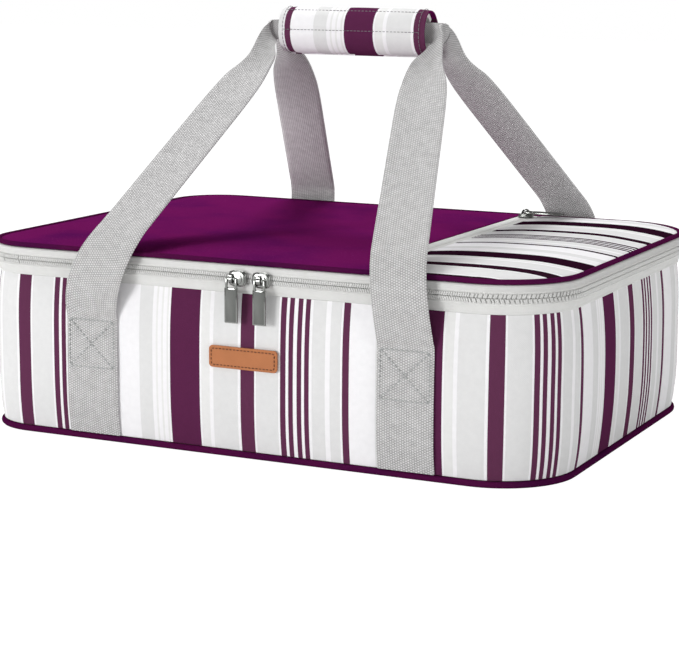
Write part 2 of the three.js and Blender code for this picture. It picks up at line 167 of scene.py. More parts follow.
class Finish:
    """A material under construction."""

    def __init__(self, name, rough, **sockets):
        self.material = bpy.data.materials.new(name)
        self.material.use_nodes = True
        self.tree = self.material.node_tree
        self.shader = self.tree.nodes["Principled BSDF"]
        self.shader.inputs["Roughness"].default_value = rough
        for key, value in sockets.items():
            self.shader.inputs[key.replace("_", " ")].default_value = value

    def add(self, kind, inputs=None, **settings):
        node = self.tree.nodes.new(kind)
        for key, value in settings.items():
            setattr(node, key, value)
        for key, value in (inputs or {}).items():
            self.feed(node.inputs[key], value)
        return node

    def feed(self, socket, value):
        if isinstance(value, bpy.types.NodeSocket):
            self.tree.links.new(value, socket)
        else:
            socket.default_value = value

    def math(self, operation, first, second=0.0, third=0.0):
        node = self.add("ShaderNodeMath", {0: first, 1: second, 2: third}, operation=operation)
        return node.outputs[0]

    def mix(self, share, first, second, blend="MIX"):
        node = self.add("ShaderNodeMix", data_type="RGBA", blend_type=blend)
        self.feed(node.inputs[0], share)
        for socket, value in ((node.inputs[6], first), (node.inputs[7], second)):
            self.feed(socket, value if isinstance(value, bpy.types.NodeSocket) else (*value, 1.0))
        return node.outputs[2]

    def place(self):
        """The place on the object."""
        return self.add("ShaderNodeTexCoord").outputs["Object"]

    def cloth_place(self):
        """The two cloth directions, in metres."""
        split = self.add("ShaderNodeSeparateXYZ", {0: self.add("ShaderNodeUVMap", uv_map="cloth").outputs[0]})
        return split.outputs[0], split.outputs[1]

    def noise(self, scale, detail=2.0, rough=0.5):
        inputs = {"Vector": self.place(), "Scale": scale, "Detail": detail, "Roughness": rough}
        return self.add("ShaderNodeTexNoise", inputs).outputs[0]

    def wave(self, place, pitch):
        return self.math("SINE", self.math("MULTIPLY", place, 2 * math.pi / pitch))

    def part(self, value, low, high):
        """A value's stretch between two limits, as 0 to 1."""
        node = self.add("ShaderNodeMapRange", {"Value": value, "From Min": low, "From Max": high})
        return node.outputs[0]

    def span(self, value, low, high):
        """A value of 0 to 1, set between two limits."""
        node = self.add("ShaderNodeMapRange", {"Value": value, "To Min": low, "To Max": high})
        return node.outputs[0]

    def colour(self, value):
        self.feed(self.shader.inputs["Base Color"], value)

    def bump(self, height, strength, depth):
        node = self.add("ShaderNodeBump", {"Height": height, "Strength": strength, "Distance": depth})
        self.tree.links.new(node.outputs[0], self.shader.inputs["Normal"])

    def shade(self, value, amount, base):
        """The base colour, darkened and lightened a little by a value of 0 to 1."""
        dark = tuple(c * (1 - amount) for c in base)
        light = tuple(min(1.0, c * (1 + amount)) for c in base)
        return self.mix(value, dark, light)


# Widths of the stripes in millimetres from the left edge of the broad stripe.
STRIPES = (
    ("plum", 21.0), ("white", 1.2), ("pale", 5.9), ("white", 2.0), ("grey", 17.6), ("white", 1.7),
    ("plum_thin", 9.8), ("white", 1.0), ("grey", 15.5), ("white", 1.5),
    ("plum_thin", 3.6), ("white", 2.0), ("plum_thin", 3.2), ("white", 2.2),
    ("plum_thin", 3.2), ("white", 2.3), ("plum_thin", 3.2), ("white", 1.6),
    ("grey", 9.3), ("white", 3.3), ("grey", 6.6), ("white", 1.7), ("plum_thin", 4.0), ("white", 17.8),
    ("grey", 9.6), ("white", 2.2), ("pale", 1.6), ("white", 2.2), ("pale", 1.6), ("white", 2.4),
    ("pale", 1.4), ("white", 1.4),
)


def striped_cloth(name, start, turned=False, flip=1.0, deep=1.0):
    """Printed canvas; start is the cloth place of the broad stripe's left edge, deep darkens the plum."""
    finish = Finish(name, 0.85, Specular_IOR_Level=0.0)
    across, along = finish.cloth_place()
    if turned:
        across, along = along, across
    place = finish.math("MULTIPLY_ADD", across, flip / sizes().stripe, -start / sizes().stripe)
    stripes = finish.add("ShaderNodeValToRGB", {0: finish.math("FRACT", place)})
    ramp = stripes.color_ramp
    ramp.interpolation = "CONSTANT"
    total = sum(width for _, width in STRIPES)
    edge = 0.0
    for index, (kind, width) in enumerate(STRIPES):
        stop = ramp.elements[index] if index < 2 else ramp.elements.new(edge / total)
        stop.position = edge / total
        dye = deep if kind.startswith("plum") else 1.0
        stop.color = (*(c * dye for c in getattr(colours(), kind)), 1.0)
        edge += width
    mottle = finish.span(finish.noise(260.0, detail=3.0), 0.6, 1.15)
    finish.colour(finish.mix(0.16, stripes.outputs[0], mottle, "MULTIPLY"))
    thread = finish.math("MULTIPLY", finish.wave(across, CANVAS_PITCH), finish.wave(along, CANVAS_PITCH))
    rumple = finish.noise(38.0, detail=3.0)
    finish.bump(finish.math("MULTIPLY_ADD", thread, 0.5, rumple), strength=0.16, depth=1.2 * MM)
    return finish.material


def plum_twill(name, base, speck, rough=0.6):
    """Heathered plum twill: dusky clouds, pale flecks and slanting ribs."""
    finish = Finish(name, rough, Specular_IOR_Level=0.0)
    across, along = finish.cloth_place()
    dusky = tuple(c * k for c, k in zip(base, (0.62, 0.7, 0.9)))
    clouds = finish.part(finish.noise(14.0, detail=3.0, rough=0.6), 0.45, 0.75)
    flecks = finish.part(finish.noise(900.0, detail=1.0), 0.62, 0.8)
    lit = tuple(min(1.0, c * 1.9 + 0.03) for c in base)
    body = finish.mix(clouds, base, dusky)
    finish.colour(finish.mix(finish.math("MULTIPLY", flecks, speck), body, lit))
    twill = finish.wave(finish.math("ADD", across, along), TWILL_PITCH)
    rumple = finish.noise(30.0, detail=3.0)
    finish.bump(finish.math("MULTIPLY_ADD", twill, 0.4, rumple), strength=0.2, depth=1.0 * MM)
    return finish.material


def woven_tape(name, base, pitch, rough=0.75):
    """Fine ribbed tape."""
    finish = Finish(name, rough, Specular_IOR_Level=0.05)
    across, along = finish.cloth_place()
    rib = finish.wave(along, pitch)
    cross = finish.wave(across, pitch * 1.4)
    finish.colour(finish.shade(finish.noise(160.0, detail=3.0), 0.06, base))
    finish.bump(finish.math("MULTIPLY_ADD", cross, 0.4, rib), strength=0.14, depth=0.4 * MM)
    return finish.material


def webbing_weave(name, base):
    """Coarse webbing: columns of picks, each column shifted half a step; its colour holds painted shade in
    the weave's hollows and painted light on its picks.
    """
    finish = Finish(name, 0.8, Specular_IOR_Level=0.05)
    across, along = finish.cloth_place()
    column = finish.math("FLOOR", finish.math("DIVIDE", across, WEB_PITCH))
    shift = finish.math("MULTIPLY", finish.math("MODULO", finish.math("ABSOLUTE", column), 2.0), math.pi)
    pick = finish.math("SINE", finish.math("MULTIPLY_ADD", along, 2 * math.pi / WEB_PITCH, shift))
    warp = finish.math("ABSOLUTE", finish.wave(across, 2 * WEB_PITCH))
    bumpy = finish.math("MULTIPLY", finish.math("MULTIPLY_ADD", pick, 0.5, 0.5), warp)
    # Painted shade and light: darker where the weave's relief is low, lighter on its picks, over a random
    # tone from the noise.
    tone_and_weave_shade = finish.math("MULTIPLY_ADD", finish.noise(220.0), 0.35, finish.math("MULTIPLY", bumpy, 0.75))
    dark = tuple(c * 0.46 for c in base)
    light = tuple(min(1.0, c * 1.36) for c in base)
    finish.colour(finish.mix(tone_and_weave_shade, dark, light))
    finish.bump(bumpy, strength=0.5, depth=0.5 * MM)
    return finish.material


def plain_finish(name, base, rough, grain, amount, metallic=0.0, strength=0.1):
    """A surface with a fine grain in its tone and relief."""
    finish = Finish(name, rough, Metallic=metallic)
    speckle = finish.noise(grain, detail=4.0, rough=0.6)
    finish.colour(finish.shade(speckle, amount, base))
    finish.bump(speckle, strength, depth=0.4 * MM)
    return finish.material


def foil_film(name, base):
    """Foil-faced film with fine creases."""
    finish = Finish(name, 0.48, Metallic=0.6, Specular_IOR_Level=0.3)
    inputs = {"Vector": finish.place(), "Scale": 55.0}
    cells = finish.add("ShaderNodeTexVoronoi", inputs, feature="DISTANCE_TO_EDGE")
    crease = finish.math("MINIMUM", cells.outputs["Distance"], 0.25)
    finish.colour(finish.shade(finish.noise(24.0, detail=3.0), 0.08, base))
    rumple = finish.noise(70.0, detail=4.0)
    finish.bump(finish.math("MULTIPLY_ADD", rumple, 0.5, crease), strength=0.5, depth=2.0 * MM)
    return finish.material


def leather_grain(name, base):
    """Smooth tan leather with pores."""
    finish = Finish(name, 0.55, Specular_IOR_Level=0.15)
    inputs = {"Vector": finish.place(), "Scale": 1500.0}
    pores = finish.add("ShaderNodeTexVoronoi", inputs).outputs["Distance"]
    cloud = finish.noise(90.0, detail=4.0)
    finish.colour(finish.shade(cloud, 0.14, base))
    finish.bump(finish.math("MULTIPLY_ADD", pores, 0.5, cloud), strength=0.16, depth=0.5 * MM)
    return finish.material


# Plain finishes: colour, roughness, scale of the grain, how far it shifts the tone, and what else is set.
PLAIN = {
    "zip_coil": ("coil", 0.42, 300.0, 0.08, {}),
    "patch_thread": ("patch_thread", 0.7, 900.0, 0.25, {}),
    "nickel": ("steel", 0.16, 500.0, 0.1, {"metallic": 1.0, "strength": 0.02}),
    "nickel_flat": ("steel_flat", 0.55, 1400.0, 0.1, {"metallic": 0.1}),
    "thread": ("thread", 0.7, 900.0, 0.2, {}),
    "dark_thread": ("dark_thread", 0.7, 900.0, 0.2, {}),
    "foam": ("foam", 0.9, 700.0, 0.05, {}),
    "board": ("board", 0.8, 200.0, 0.15, {}),
    "hook_loop": ("hook_loop", 0.95, 1600.0, 0.3, {"strength": 0.6}),
}
WOVEN = {
    "wall_stripe": lambda kind: striped_cloth(kind, -0.0525),
    "pocket_stripe": lambda kind: striped_cloth(kind, -0.0985, turned=True, flip=-1.0, deep=0.22),
    "grip_stripe": lambda kind: striped_cloth(kind, 0.0003),
    "lid_twill": lambda kind: plum_twill(kind, colours().lid, 0.3),
    "trim_twill": lambda kind: plum_twill(kind, colours().trim, 0.08, rough=0.7),
    "zip_tape": lambda kind: woven_tape(kind, colours().tape, CANVAS_PITCH),
    "webbing": lambda kind: webbing_weave(kind, colours().webbing),
    "leather": lambda kind: leather_grain(kind, colours().leather),
    "foil": lambda kind: foil_film(kind, colours().foil),
}
FINISHES = {}


def finish_for(kind):
    """The material of a kind, made once."""
    if kind not in FINISHES and kind in WOVEN:
        FINISHES[kind] = WOVEN[kind](kind)
    elif kind not in FINISHES:
        colour, rough, grain, amount, other = PLAIN[kind]
        FINISHES[kind] = plain_finish(kind, getattr(colours(), colour), rough, grain, amount, **other)
    return FINISHES[kind]


# Mesh helpers

class Ring:
    """One closed section of a swept piece, with its cloth places."""

    def __init__(self, points, along, around):
        self.points = points
        self.along = along
        self.around = around


def verts_in(geom):
    """The points among what an operator made."""
    return [item for item in geom if isinstance(item, bmesh.types.BMVert)]


def sweep(rings, looped=False):
    """Extrudes the first section through the others and gives the faces their cloth places."""
    bm = bmesh.new()
    place = bm.verts.layers.int.new("place")
    along = bm.verts.layers.float.new("along")
    around = bm.verts.layers.float.new("around")
    count = len(rings[0].points)
    first = []
    for index, point in enumerate(rings[0].points):
        vert = bm.verts.new(point)
        vert[place], vert[along], vert[around] = index, rings[0].along, rings[0].around[index]
        first.append(vert)
    edges = [bm.edges.new((first[i], first[(i + 1) % count])) for i in range(count)]
    for ring in rings[1:]:
        made = bmesh.ops.extrude_edge_only(bm, edges=edges)["geom"]
        fresh = set(verts_in(made))
        for vert in fresh:
            vert.co = ring.points[vert[place]]
            vert[along], vert[around] = ring.along, ring.around[vert[place]]
        edges = [e for e in made if isinstance(e, bmesh.types.BMEdge) and fresh.issuperset(e.verts)]
    if not looped:
        bmesh.ops.holes_fill(bm, edges=[e for e in bm.edges if e.is_boundary], sides=0)
    cloth = bm.loops.layers.uv.new("cloth")
    for face in bm.faces:
        for loop in face.loops:
            loop[cloth].uv = (loop.vert[along], loop.vert[around])
    if looped:
        bmesh.ops.remove_doubles(bm, verts=bm.verts, dist=1e-6)
    bmesh.ops.recalc_face_normals(bm, faces=bm.faces)
    return bm


def make_piece(name, bm, finishes, body=None, nodes=(), sharp=50.0):
    """Turns a bmesh into a named piece that rides on a body."""
    mesh = bpy.data.meshes.new(name)
    bm.to_mesh(mesh)
    bm.free()
    piece = bpy.data.objects.new(name, mesh)
    bpy.context.scene.collection.objects.link(piece)
    for kind in finishes:
        mesh.materials.append(finish_for(kind))
    mesh.shade_smooth()
    mesh.set_sharp_from_angle(angle=math.radians(sharp))
    if nodes:
        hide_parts(*nodes)
    if body:
        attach(piece, body)
    return piece


def join_into(bm, other):
    """Adds a finished bmesh to another and frees it."""
    mesh = bpy.data.meshes.new("part")
    other.to_mesh(mesh)
    other.free()
    bm.from_mesh(mesh)
    bpy.data.meshes.remove(mesh)


class Station:
    """A place on the case outline: point, outward direction and length from the middle of the front."""

    def __init__(self, x, y, nx, ny, arc):
        self.x, self.y, self.nx, self.ny, self.arc = x, y, nx, ny, arc

    def at(self, out, z):
        return Vector((self.x + self.nx * out, self.y + self.ny * out, z))


def outline(step=0.006, corner_steps=16):
    """The case outline from the middle of the back, counter-clockwise, closed."""
    s = sizes()
    hx, hy = s.length / 2, s.depth / 2
    left, right = s.corner_left, s.corner_right
    raw = []

    def run(start, end, normal):
        count = max(1, round((end - start).length / step))
        raw.extend((start.lerp(end, i / count), normal) for i in range(count))

    def turn(x, y, r, begin):
        for i in range(corner_steps):
            a = math.radians(begin + 90 * i / corner_steps)
            direction = Vector((math.cos(a), math.sin(a)))
            raw.append((Vector((x, y)) + direction * r, direction))

    run(Vector((0, hy)), Vector((left - hx, hy)), Vector((0, 1)))
    turn(left - hx, hy - left, left, 90)
    run(Vector((-hx, hy - left)), Vector((-hx, left - hy)), Vector((-1, 0)))
    turn(left - hx, left - hy, left, 180)
    run(Vector((left - hx, -hy)), Vector((0, -hy)), Vector((0, -1)))
    middle = len(raw)
    run(Vector((0, -hy)), Vector((hx - right, -hy)), Vector((0, -1)))
    turn(hx - right, right - hy, right, 270)
    run(Vector((hx, right - hy)), Vector((hx, hy - right)), Vector((1, 0)))
    turn(hx - right, hy - right, right, 0)
    run(Vector((hx - right, hy)), Vector((0, hy)), Vector((0, 1)))
    raw.append((Vector((0, hy)), Vector((0, 1))))
    arcs = [0.0]
    for (a, _), (b, _) in zip(raw, raw[1:]):
        arcs.append(arcs[-1] + (b - a).length)
    return [Station(p.x, p.y, n.x, n.y, arc - arcs[middle]) for (p, n), arc in zip(raw, arcs)]


def on_back(station, margin):
    """Whether a place is on the straight part of the back."""
    s = sizes()
    inside = s.corner_left + margin - s.length / 2 < station.x < s.length / 2 - s.corner_right - margin
    return inside and station.y > s.depth / 2 - 1e-6


def zip_run(stations):
    """The part of the outline with the zip: all but the straight part of the back."""
    return [s for s in stations if not on_back(s, 1e-5)]


def back_run():
    """The straight part of the back, from right to left."""
    low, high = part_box("hinge_strip")
    steps, step = 40, 7 * MM
    places = [high.x + (low.x - high.x) * i / steps for i in range(steps + 1)]
    return [Station(x, sizes().depth / 2, 0, 1, -i * step) for i, x in enumerate(places)]


def ring_along(station, profile, shift=None):
    """A section of the outline from a profile of (out, height); shift moves its points."""
    points = [station.at(out, z) for out, z in profile]
    if shift:
        points = [p + shift(station, p, index) for index, p in enumerate(points)]
    heights, total = [], 0.0
    for index, (out, z) in enumerate(profile):
        if index:
            before = profile[index - 1]
            total += math.hypot(out - before[0], z - before[1])
        heights.append(total)
    return Ring(points, station.arc, heights)


def sweep_outline(stations, profile, looped, shift=None):
    """A piece with one profile along the outline, or along part of it."""
    return sweep([ring_along(s, profile, shift) for s in stations], looped)


def wall_tuck(z):
    """How far the wall is pulled in at a height."""
    low, high = WALL_SPAN
    t = (z - low) / (high - low)
    return sizes().tuck * (2 * t - 1) ** 4


def bead(out, z, radius, sides=12):
    """The round profile of a piping."""
    turns = [2 * math.pi * i / sides for i in range(sides)]
    return [(out + radius * math.cos(a), z + radius * math.sin(a)) for a in turns]


def piping(box):
    """Half the height of a piping's box, and how far out its middle lies."""
    radius = (box[1].z - box[0].z) / 2
    return radius, -(sizes().length / 2 - box[1].x) - radius


def soft(point, scale, seed=0.0):
    """Smooth seeded noise of -1 to 1."""
    return noise.noise(Vector((point.x * scale + seed, point.y * scale - seed, point.z * scale)))


# Padding

def plump(piece, sewn, cap, pressure=4.0, steps=20):
    """Swells a padded piece by cloth simulation between the points that are sewn, and keeps the result."""
    scene = bpy.context.scene
    rest = [v.co.copy() for v in piece.data.vertices]
    held = piece.vertex_groups.new(name="sewn")
    held.add([i for i, point in enumerate(rest) if sewn(point)], 1.0, "REPLACE")
    cloth = piece.modifiers.new("plump", "CLOTH")
    cloth.settings.use_pressure = True
    cloth.settings.uniform_pressure_force = pressure
    cloth.settings.effector_weights.gravity = 0.0
    cloth.settings.vertex_group_mass = held.name
    cloth.point_cache.frame_start = 1
    cloth.point_cache.frame_end = steps
    for step in range(1, steps + 1):
        scene.frame_set(step)
    shaped = piece.evaluated_get(bpy.context.evaluated_depsgraph_get())
    moved = [v.co.copy() for v in shaped.data.vertices]
    if len(moved) != len(rest):
        raise RuntimeError("the padding of " + piece.name + " lost its points")
    piece.modifiers.remove(cloth)
    piece.vertex_groups.remove(held)
    scene.frame_set(1)
    for vert, before, after in zip(piece.data.vertices, rest, moved):
        move = after - before
        far = move.length
        vert.co = before + (move * (cap * math.tanh(far / cap) / far) if far > 1e-7 else move)
    piece.data.update()


# Stitches

def stitch_run(bm, points, normal, pitch, share=0.62, radius=0.4 * MM, lift=0.2 * MM):
    """Raised stitches along a line of points; normal is a direction, or finds one at a point."""
    lengths = [0.0]
    for a, b in zip(points, points[1:]):
        lengths.append(lengths[-1] + (b - a).length)
    count = max(1, round(lengths[-1] / pitch))

    def at(distance):
        """The point of the line after a distance."""
        for (a, b), (la, lb) in zip(zip(points, points[1:]), zip(lengths, lengths[1:])):
            if distance <= lb:
                return a.lerp(b, (distance - la) / max(lb - la, 1e-9))
        return points[-1]

    # Sections of one stitch: place along it, size and rise.
    sections = ((0.0, 0.45, -0.6), (0.2, 1.0, 0.5), (0.8, 1.0, 0.5), (1.0, 0.45, -0.6))
    reach = share * lengths[-1] / count / 2
    for index in range(count):
        middle = (index + 0.5) * lengths[-1] / count
        start, end = at(middle - reach), at(middle + reach)
        up = normal(at(middle)) if callable(normal) else normal
        side = (end - start).normalized().cross(up).normalized()
        spokes = [side * math.cos(math.pi * k / 3) + up * math.sin(math.pi * k / 3) for k in range(6)]
        rings = []
        for f, size, rise in sections:
            centre = start.lerp(end, f) + up * (lift + rise * radius)
            rings.append(Ring([centre + spoke * radius * size for spoke in spokes], 0.0, [0.0] * 6))
        join_into(bm, sweep(rings))


# Zip teeth

def tooth_row(bm, places, length, width, depth):
    """Copies one rounded tooth to each place, given as a matrix."""
    seed = bmesh.new()
    bmesh.ops.create_cube(seed, size=1.0)
    bmesh.ops.scale(seed, vec=(width, depth, length), verts=seed.verts)
    edge = min(width, depth) * 0.3
    bmesh.ops.bevel(seed, geom=seed.edges, offset=edge, segments=1, affect="EDGES", profile=0.5, material=-1)
    mesh = bpy.data.meshes.new("tooth")
    seed.to_mesh(mesh)
    seed.free()
    few = 40
    for start in range(0, len(places), few):
        batch = bmesh.new()
        for place in places[start:start + few]:
            before = len(batch.verts)
            batch.from_mesh(mesh)
            batch.verts.ensure_lookup_table()
            bmesh.ops.transform(batch, matrix=place, verts=batch.verts[before:])
        join_into(bm, batch)
    bpy.data.meshes.remove(mesh)


class CARRIER_OT_wall(bpy.types.Operator):
    """Make the padded striped wall with its tucked seams."""

    bl_idname = "carrier.wall"
    bl_label = "Striped Wall"
    bl_options = {"REGISTER", "UNDO"}

    def execute(self, context):
        low, high = WALL_SPAN
        rows = 22
        levels = [low + (high - low) * (1 - math.cos(math.pi * i / rows)) / 2 for i in range(rows + 1)]
        outer = [(-wall_tuck(z), z) for z in levels]
        inner = [(-wall_tuck(z) - CLOTH, z) for z in reversed(levels[::2])]

        def settle(station, point, index):
            """Dents the shown side a little, and puckers it beside its seams."""
            if index >= len(outer):
                return Vector()
            edge = (point.z - low) / (high - low)
            ease = min(1.0, 6 * min(edge, 1 - edge))
            dent = -0.45 * MM * (1 + soft(point, 16.0)) * ease
            waves = math.sin(station.arc * 900 + 3 * soft(point, 20.0, 4.0))
            pucker = -0.35 * MM * (1 + waves) * (1 - ease) * ease
            return Vector((station.nx, station.ny, 0)) * (dent + pucker)

        bm = sweep_outline(outline(), outer + inner, True, settle)
        wall = make_piece("striped_wall", bm, ["wall_stripe"], "case", ["outer_wall"])

        def stitched(point):
            """The seams, the cloth under the straps and the patch, and the inner side stay put."""
            s = sizes()
            seam = min(point.z - low, high - point.z) < 2 * MM
            on_face = abs(point.y) > s.depth / 2 - 10 * MM
            under = on_face and (abs(abs(point.x) - s.strap_x) < 21 * MM or abs(point.x) < 26 * MM)
            return seam or under or edge_distance(point.x, point.y, wall_tuck(point.z) + 0.95 * MM) > 0

        plump(wall, stitched, 0.8 * MM, steps=12)
        return {"FINISHED"}


class CARRIER_OT_bottom(bpy.types.Operator):
    """Make the bottom panel and its piping."""

    bl_idname = "carrier.bottom"
    bl_label = "Bottom"
    bl_options = {"REGISTER", "UNDO"}

    def execute(self, context):
        radius, out = piping(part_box("bottom_piping"))
        thick = 1.2 * MM
        stations = outline()
        cord = sweep_outline(stations, bead(out, radius, radius), True)
        make_piece("bottom_cord", cord, ["trim_twill"], "case", ["bottom_piping"])
        panel = bmesh.new()
        base = panel.faces.new([panel.verts.new(s.at(out - radius, 0.0)) for s in stations[:-1]])
        top = bmesh.ops.extrude_face_region(panel, geom=[base])["geom"]
        bmesh.ops.translate(panel, vec=(0, 0, thick), verts=verts_in(top))
        bmesh.ops.recalc_face_normals(panel, faces=panel.faces)
        cloth = panel.loops.layers.uv.new("cloth")
        for face in panel.faces:
            for loop in face.loops:
                loop[cloth].uv = loop.vert.co.xy
        make_piece("bottom_cloth", panel, ["trim_twill"], "case", ["bottom_panel"])
        return {"FINISHED"}


def tape_bands():
    """Profiles of the lower and upper zip tapes: a folded hem, a flat and a ridge beside the teeth."""
    low = WALL_SPAN[1] / MM + 0.1
    teeth = ZIP_Z / MM
    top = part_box("upper_zip_tape")[1].z / MM
    lower = [
        (-3.2, low), (-2.1, low + 0.15), (-1.75, low + 0.9), (-1.9, low + 1.5), (-1.5, low + 2.3),
        (-0.75, low + 4.2), (-0.3, teeth - 4.4), (0.3, teeth - 3.9), (0.3, teeth - 3.3),
        (-0.1, teeth - 2.9), (0.0, teeth - 0.15),
        (-1.4, teeth - 0.15), (-1.4, teeth - 2.0), (-4.4, low),
    ]
    upper = [
        (0.0, teeth + 0.15), (-0.1, teeth + 2.9), (0.3, teeth + 3.3), (0.3, teeth + 3.9), (-0.2, teeth + 4.4),
        (-0.5, top - 1.4), (-1.0, top - 0.4), (-1.6, top), (-2.6, top), (-1.4, teeth + 0.15),
    ]
    return [(a * MM, b * MM) for a, b in lower], [(a * MM, b * MM) for a, b in upper]


class CARRIER_OT_zip(bpy.types.Operator):
    """Make the tapes, teeth and hinge strips of the main zip."""

    bl_idname = "carrier.zip"
    bl_label = "Main Zip"
    bl_options = {"REGISTER", "UNDO"}

    def execute(self, context):
        run = zip_run(outline())
        back = back_run()
        lower, upper = tape_bands()
        for name, path, profile, body, node in (
            ("lower_tape", run, lower, "case", "lower_zip_tape"),
            ("upper_tape", run, upper, "lid", "upper_zip_tape"),
            ("case_hinge_tape", back, lower, "case", "hinge_strip"),
            ("lid_hinge_tape", back, upper, "lid", "lid_back_strip"),
        ):
            tape = sweep_outline(path, profile, False)
            make_piece(name, tape, ["zip_tape"], body, [node], 60.0)
        pitch = sizes().tooth
        fine = zip_run(outline(step=pitch / 2, corner_steps=84))
        # The upper teeth stand half a pitch on from the lower ones.
        for name, body, node, sign, wait in (
            ("lower_teeth", "case", "lower_zip_coil", -1, pitch),
            ("upper_teeth", "lid", "upper_zip_coil", 1, 1.5 * pitch),
        ):
            bm = bmesh.new()
            places = []
            travelled = 0.0
            for a, b in zip(fine, fine[1:]):
                travelled += math.hypot(b.x - a.x, b.y - a.y)
                if travelled >= wait:
                    travelled -= pitch
                    turn = math.atan2(b.ny, b.nx) + math.pi / 2
                    spot = b.at(0.55 * MM, ZIP_Z + sign * 1.42 * MM)
                    tilt = Matrix.Rotation(sign * math.radians(20), 4, "Y")
                    places.append(Matrix.Translation(spot) @ Matrix.Rotation(turn, 4, "Z") @ tilt)
            tooth_row(bm, places, length=2.6 * MM, width=1.15 * MM, depth=0.8 * MM)
            make_piece(name, bm, ["zip_coil"], body, [node], 30.0)
        return {"FINISHED"}


def edge_distance(x, y, inset):
    """How far inside the lid's outline, drawn in by an inset, a point lies."""
    s = sizes()
    hx, hy = s.length / 2 - inset, s.depth / 2 - inset
    r = (s.corner_right if x > 0 else s.corner_left) - inset
    qx, qy = abs(x) - (hx - r), abs(y) - (hy - r)
    if qx > 0 and qy > 0:
        return r - math.hypot(qx, qy)
    return min(hx - abs(x), hy - abs(y))


def lid_height(x, y):
    """Height of the padded lid's cloth."""
    s = sizes()
    inside = max(0.0, edge_distance(x, y, LID_EDGE))
    low, high = LID_CORD
    return (low.z + high.z) / 2 + 0.4 * MM + s.crown * (1 - math.exp(-inside / (7 * MM)))


def lid_sheet(x0, x1, puff, seed, columns=46, rows=61):
    """A padded cloth between two cross lines of the lid, flat at its rim and beside the pocket zip."""
    s = sizes()
    rim, flat, rise = 22 * MM, 8 * MM, 10 * MM
    hx, hy = s.length / 2 - LID_EDGE, s.depth / 2 - LID_EDGE
    rings = []
    for i in range(columns + 1):
        t = (1 - math.cos(math.pi * i / columns)) / 2
        x = x0 + (x1 - x0) * t
        r = (s.corner_right if x > 0 else s.corner_left) - LID_EDGE
        over = max(0.0, abs(x) - (hx - r))
        reach = hy - r + math.sqrt(max(0.0, r * r - over * over))
        ys = [reach * math.sin(math.pi * (j / rows - 0.5)) for j in range(rows + 1)]
        top = []
        for y in ys:
            z = lid_height(x, y)
            ease = min(1.0, edge_distance(x, y, LID_EDGE) / rim)
            beside = 1 - math.exp(-max(0.0, abs(x - s.pocket_x) - flat) / rise)
            z += 0.5 * MM * soft(Vector((x, y, 0)), 15.0, seed) * ease * beside
            z += puff * beside * ease * (2 - ease)
            top.append(Vector((x, y, z)))
        low = [Vector((p.x, p.y, p.z - CLOTH)) for p in reversed(top[::6])]
        rings.append(Ring(top + low, x, [p.y for p in top + low]))
    return sweep(rings)


class CARRIER_OT_lid(bpy.types.Operator):
    """Make the lid's plum panel, striped pocket and piping."""

    bl_idname = "carrier.lid"
    bl_label = "Lid Cloth"
    bl_options = {"REGISTER", "UNDO"}

    def execute(self, context):
        s = sizes()
        edge = s.length / 2 - LID_EDGE
        swell = 1.4 * MM
        panel = lid_sheet(-edge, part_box("lid_panel")[1].x - ZIP_SHOWS, 0.3 * MM, 3.0)
        made = make_piece("lid_cloth", panel, ["lid_twill"], "lid", ["lid_panel"], 60.0)

        def stitched(point):
            """The rim, the cloth beside the pocket zip and the underside stay put."""
            near = edge_distance(point.x, point.y, LID_EDGE) < 3 * MM or abs(point.x - s.pocket_x) < 12 * MM
            return near or point.z < lid_height(point.x, point.y) - 0.4 * MM

        plump(made, stitched, swell)
        self.sew_on(made, self.zip_end())
        pocket = lid_sheet(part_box("pocket_panel")[0].x + ZIP_SHOWS, edge, 1.0 * MM, 11.0, columns=34)
        made = make_piece(
            "pocket_cloth", pocket, ["pocket_stripe"], "lid", ["pocket_panel"], 60.0
        )
        plump(made, stitched, swell)
        radius, out = piping(LID_CORD)
        middle = (LID_CORD[1].z + LID_CORD[0].z) / 2
        cord = sweep_outline(outline(), bead(out, middle, radius * 1.08), True)
        make_piece("lid_cord", cord, ["trim_twill"], "lid", ["lid_piping"])
        return {"FINISHED"}

    def zip_end(self):
        """The folded plum tab that covers the front end of the pocket zip."""
        s = sizes()
        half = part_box("pocket_panel")[0].x - s.pocket_x + ZIP_SHOWS
        front = LID_EDGE + 0.2 * MM - s.depth / 2
        length, steps = 20 * MM, 12
        flat = half - 0.6 * MM
        section = [(-half, -0.5), (half, -0.5), (half, 0.1), (flat, 0.35), (-flat, 0.35), (-half, 0.1)]
        rings = []
        for i in range(steps + 1):
            y = front + length * i / steps
            z = lid_height(s.pocket_x, y)
            points = [Vector((s.pocket_x + x, y, z + h * MM)) for x, h in section]
            rings.append(Ring(points, y, [x for x, _ in section]))
        return sweep(rings)

    def sew_on(self, piece, bm):
        """Adds a small shape to a finished piece."""
        whole = bmesh.new()
        whole.from_mesh(piece.data)
        join_into(whole, bm)
        whole.to_mesh(piece.data)
        whole.free()


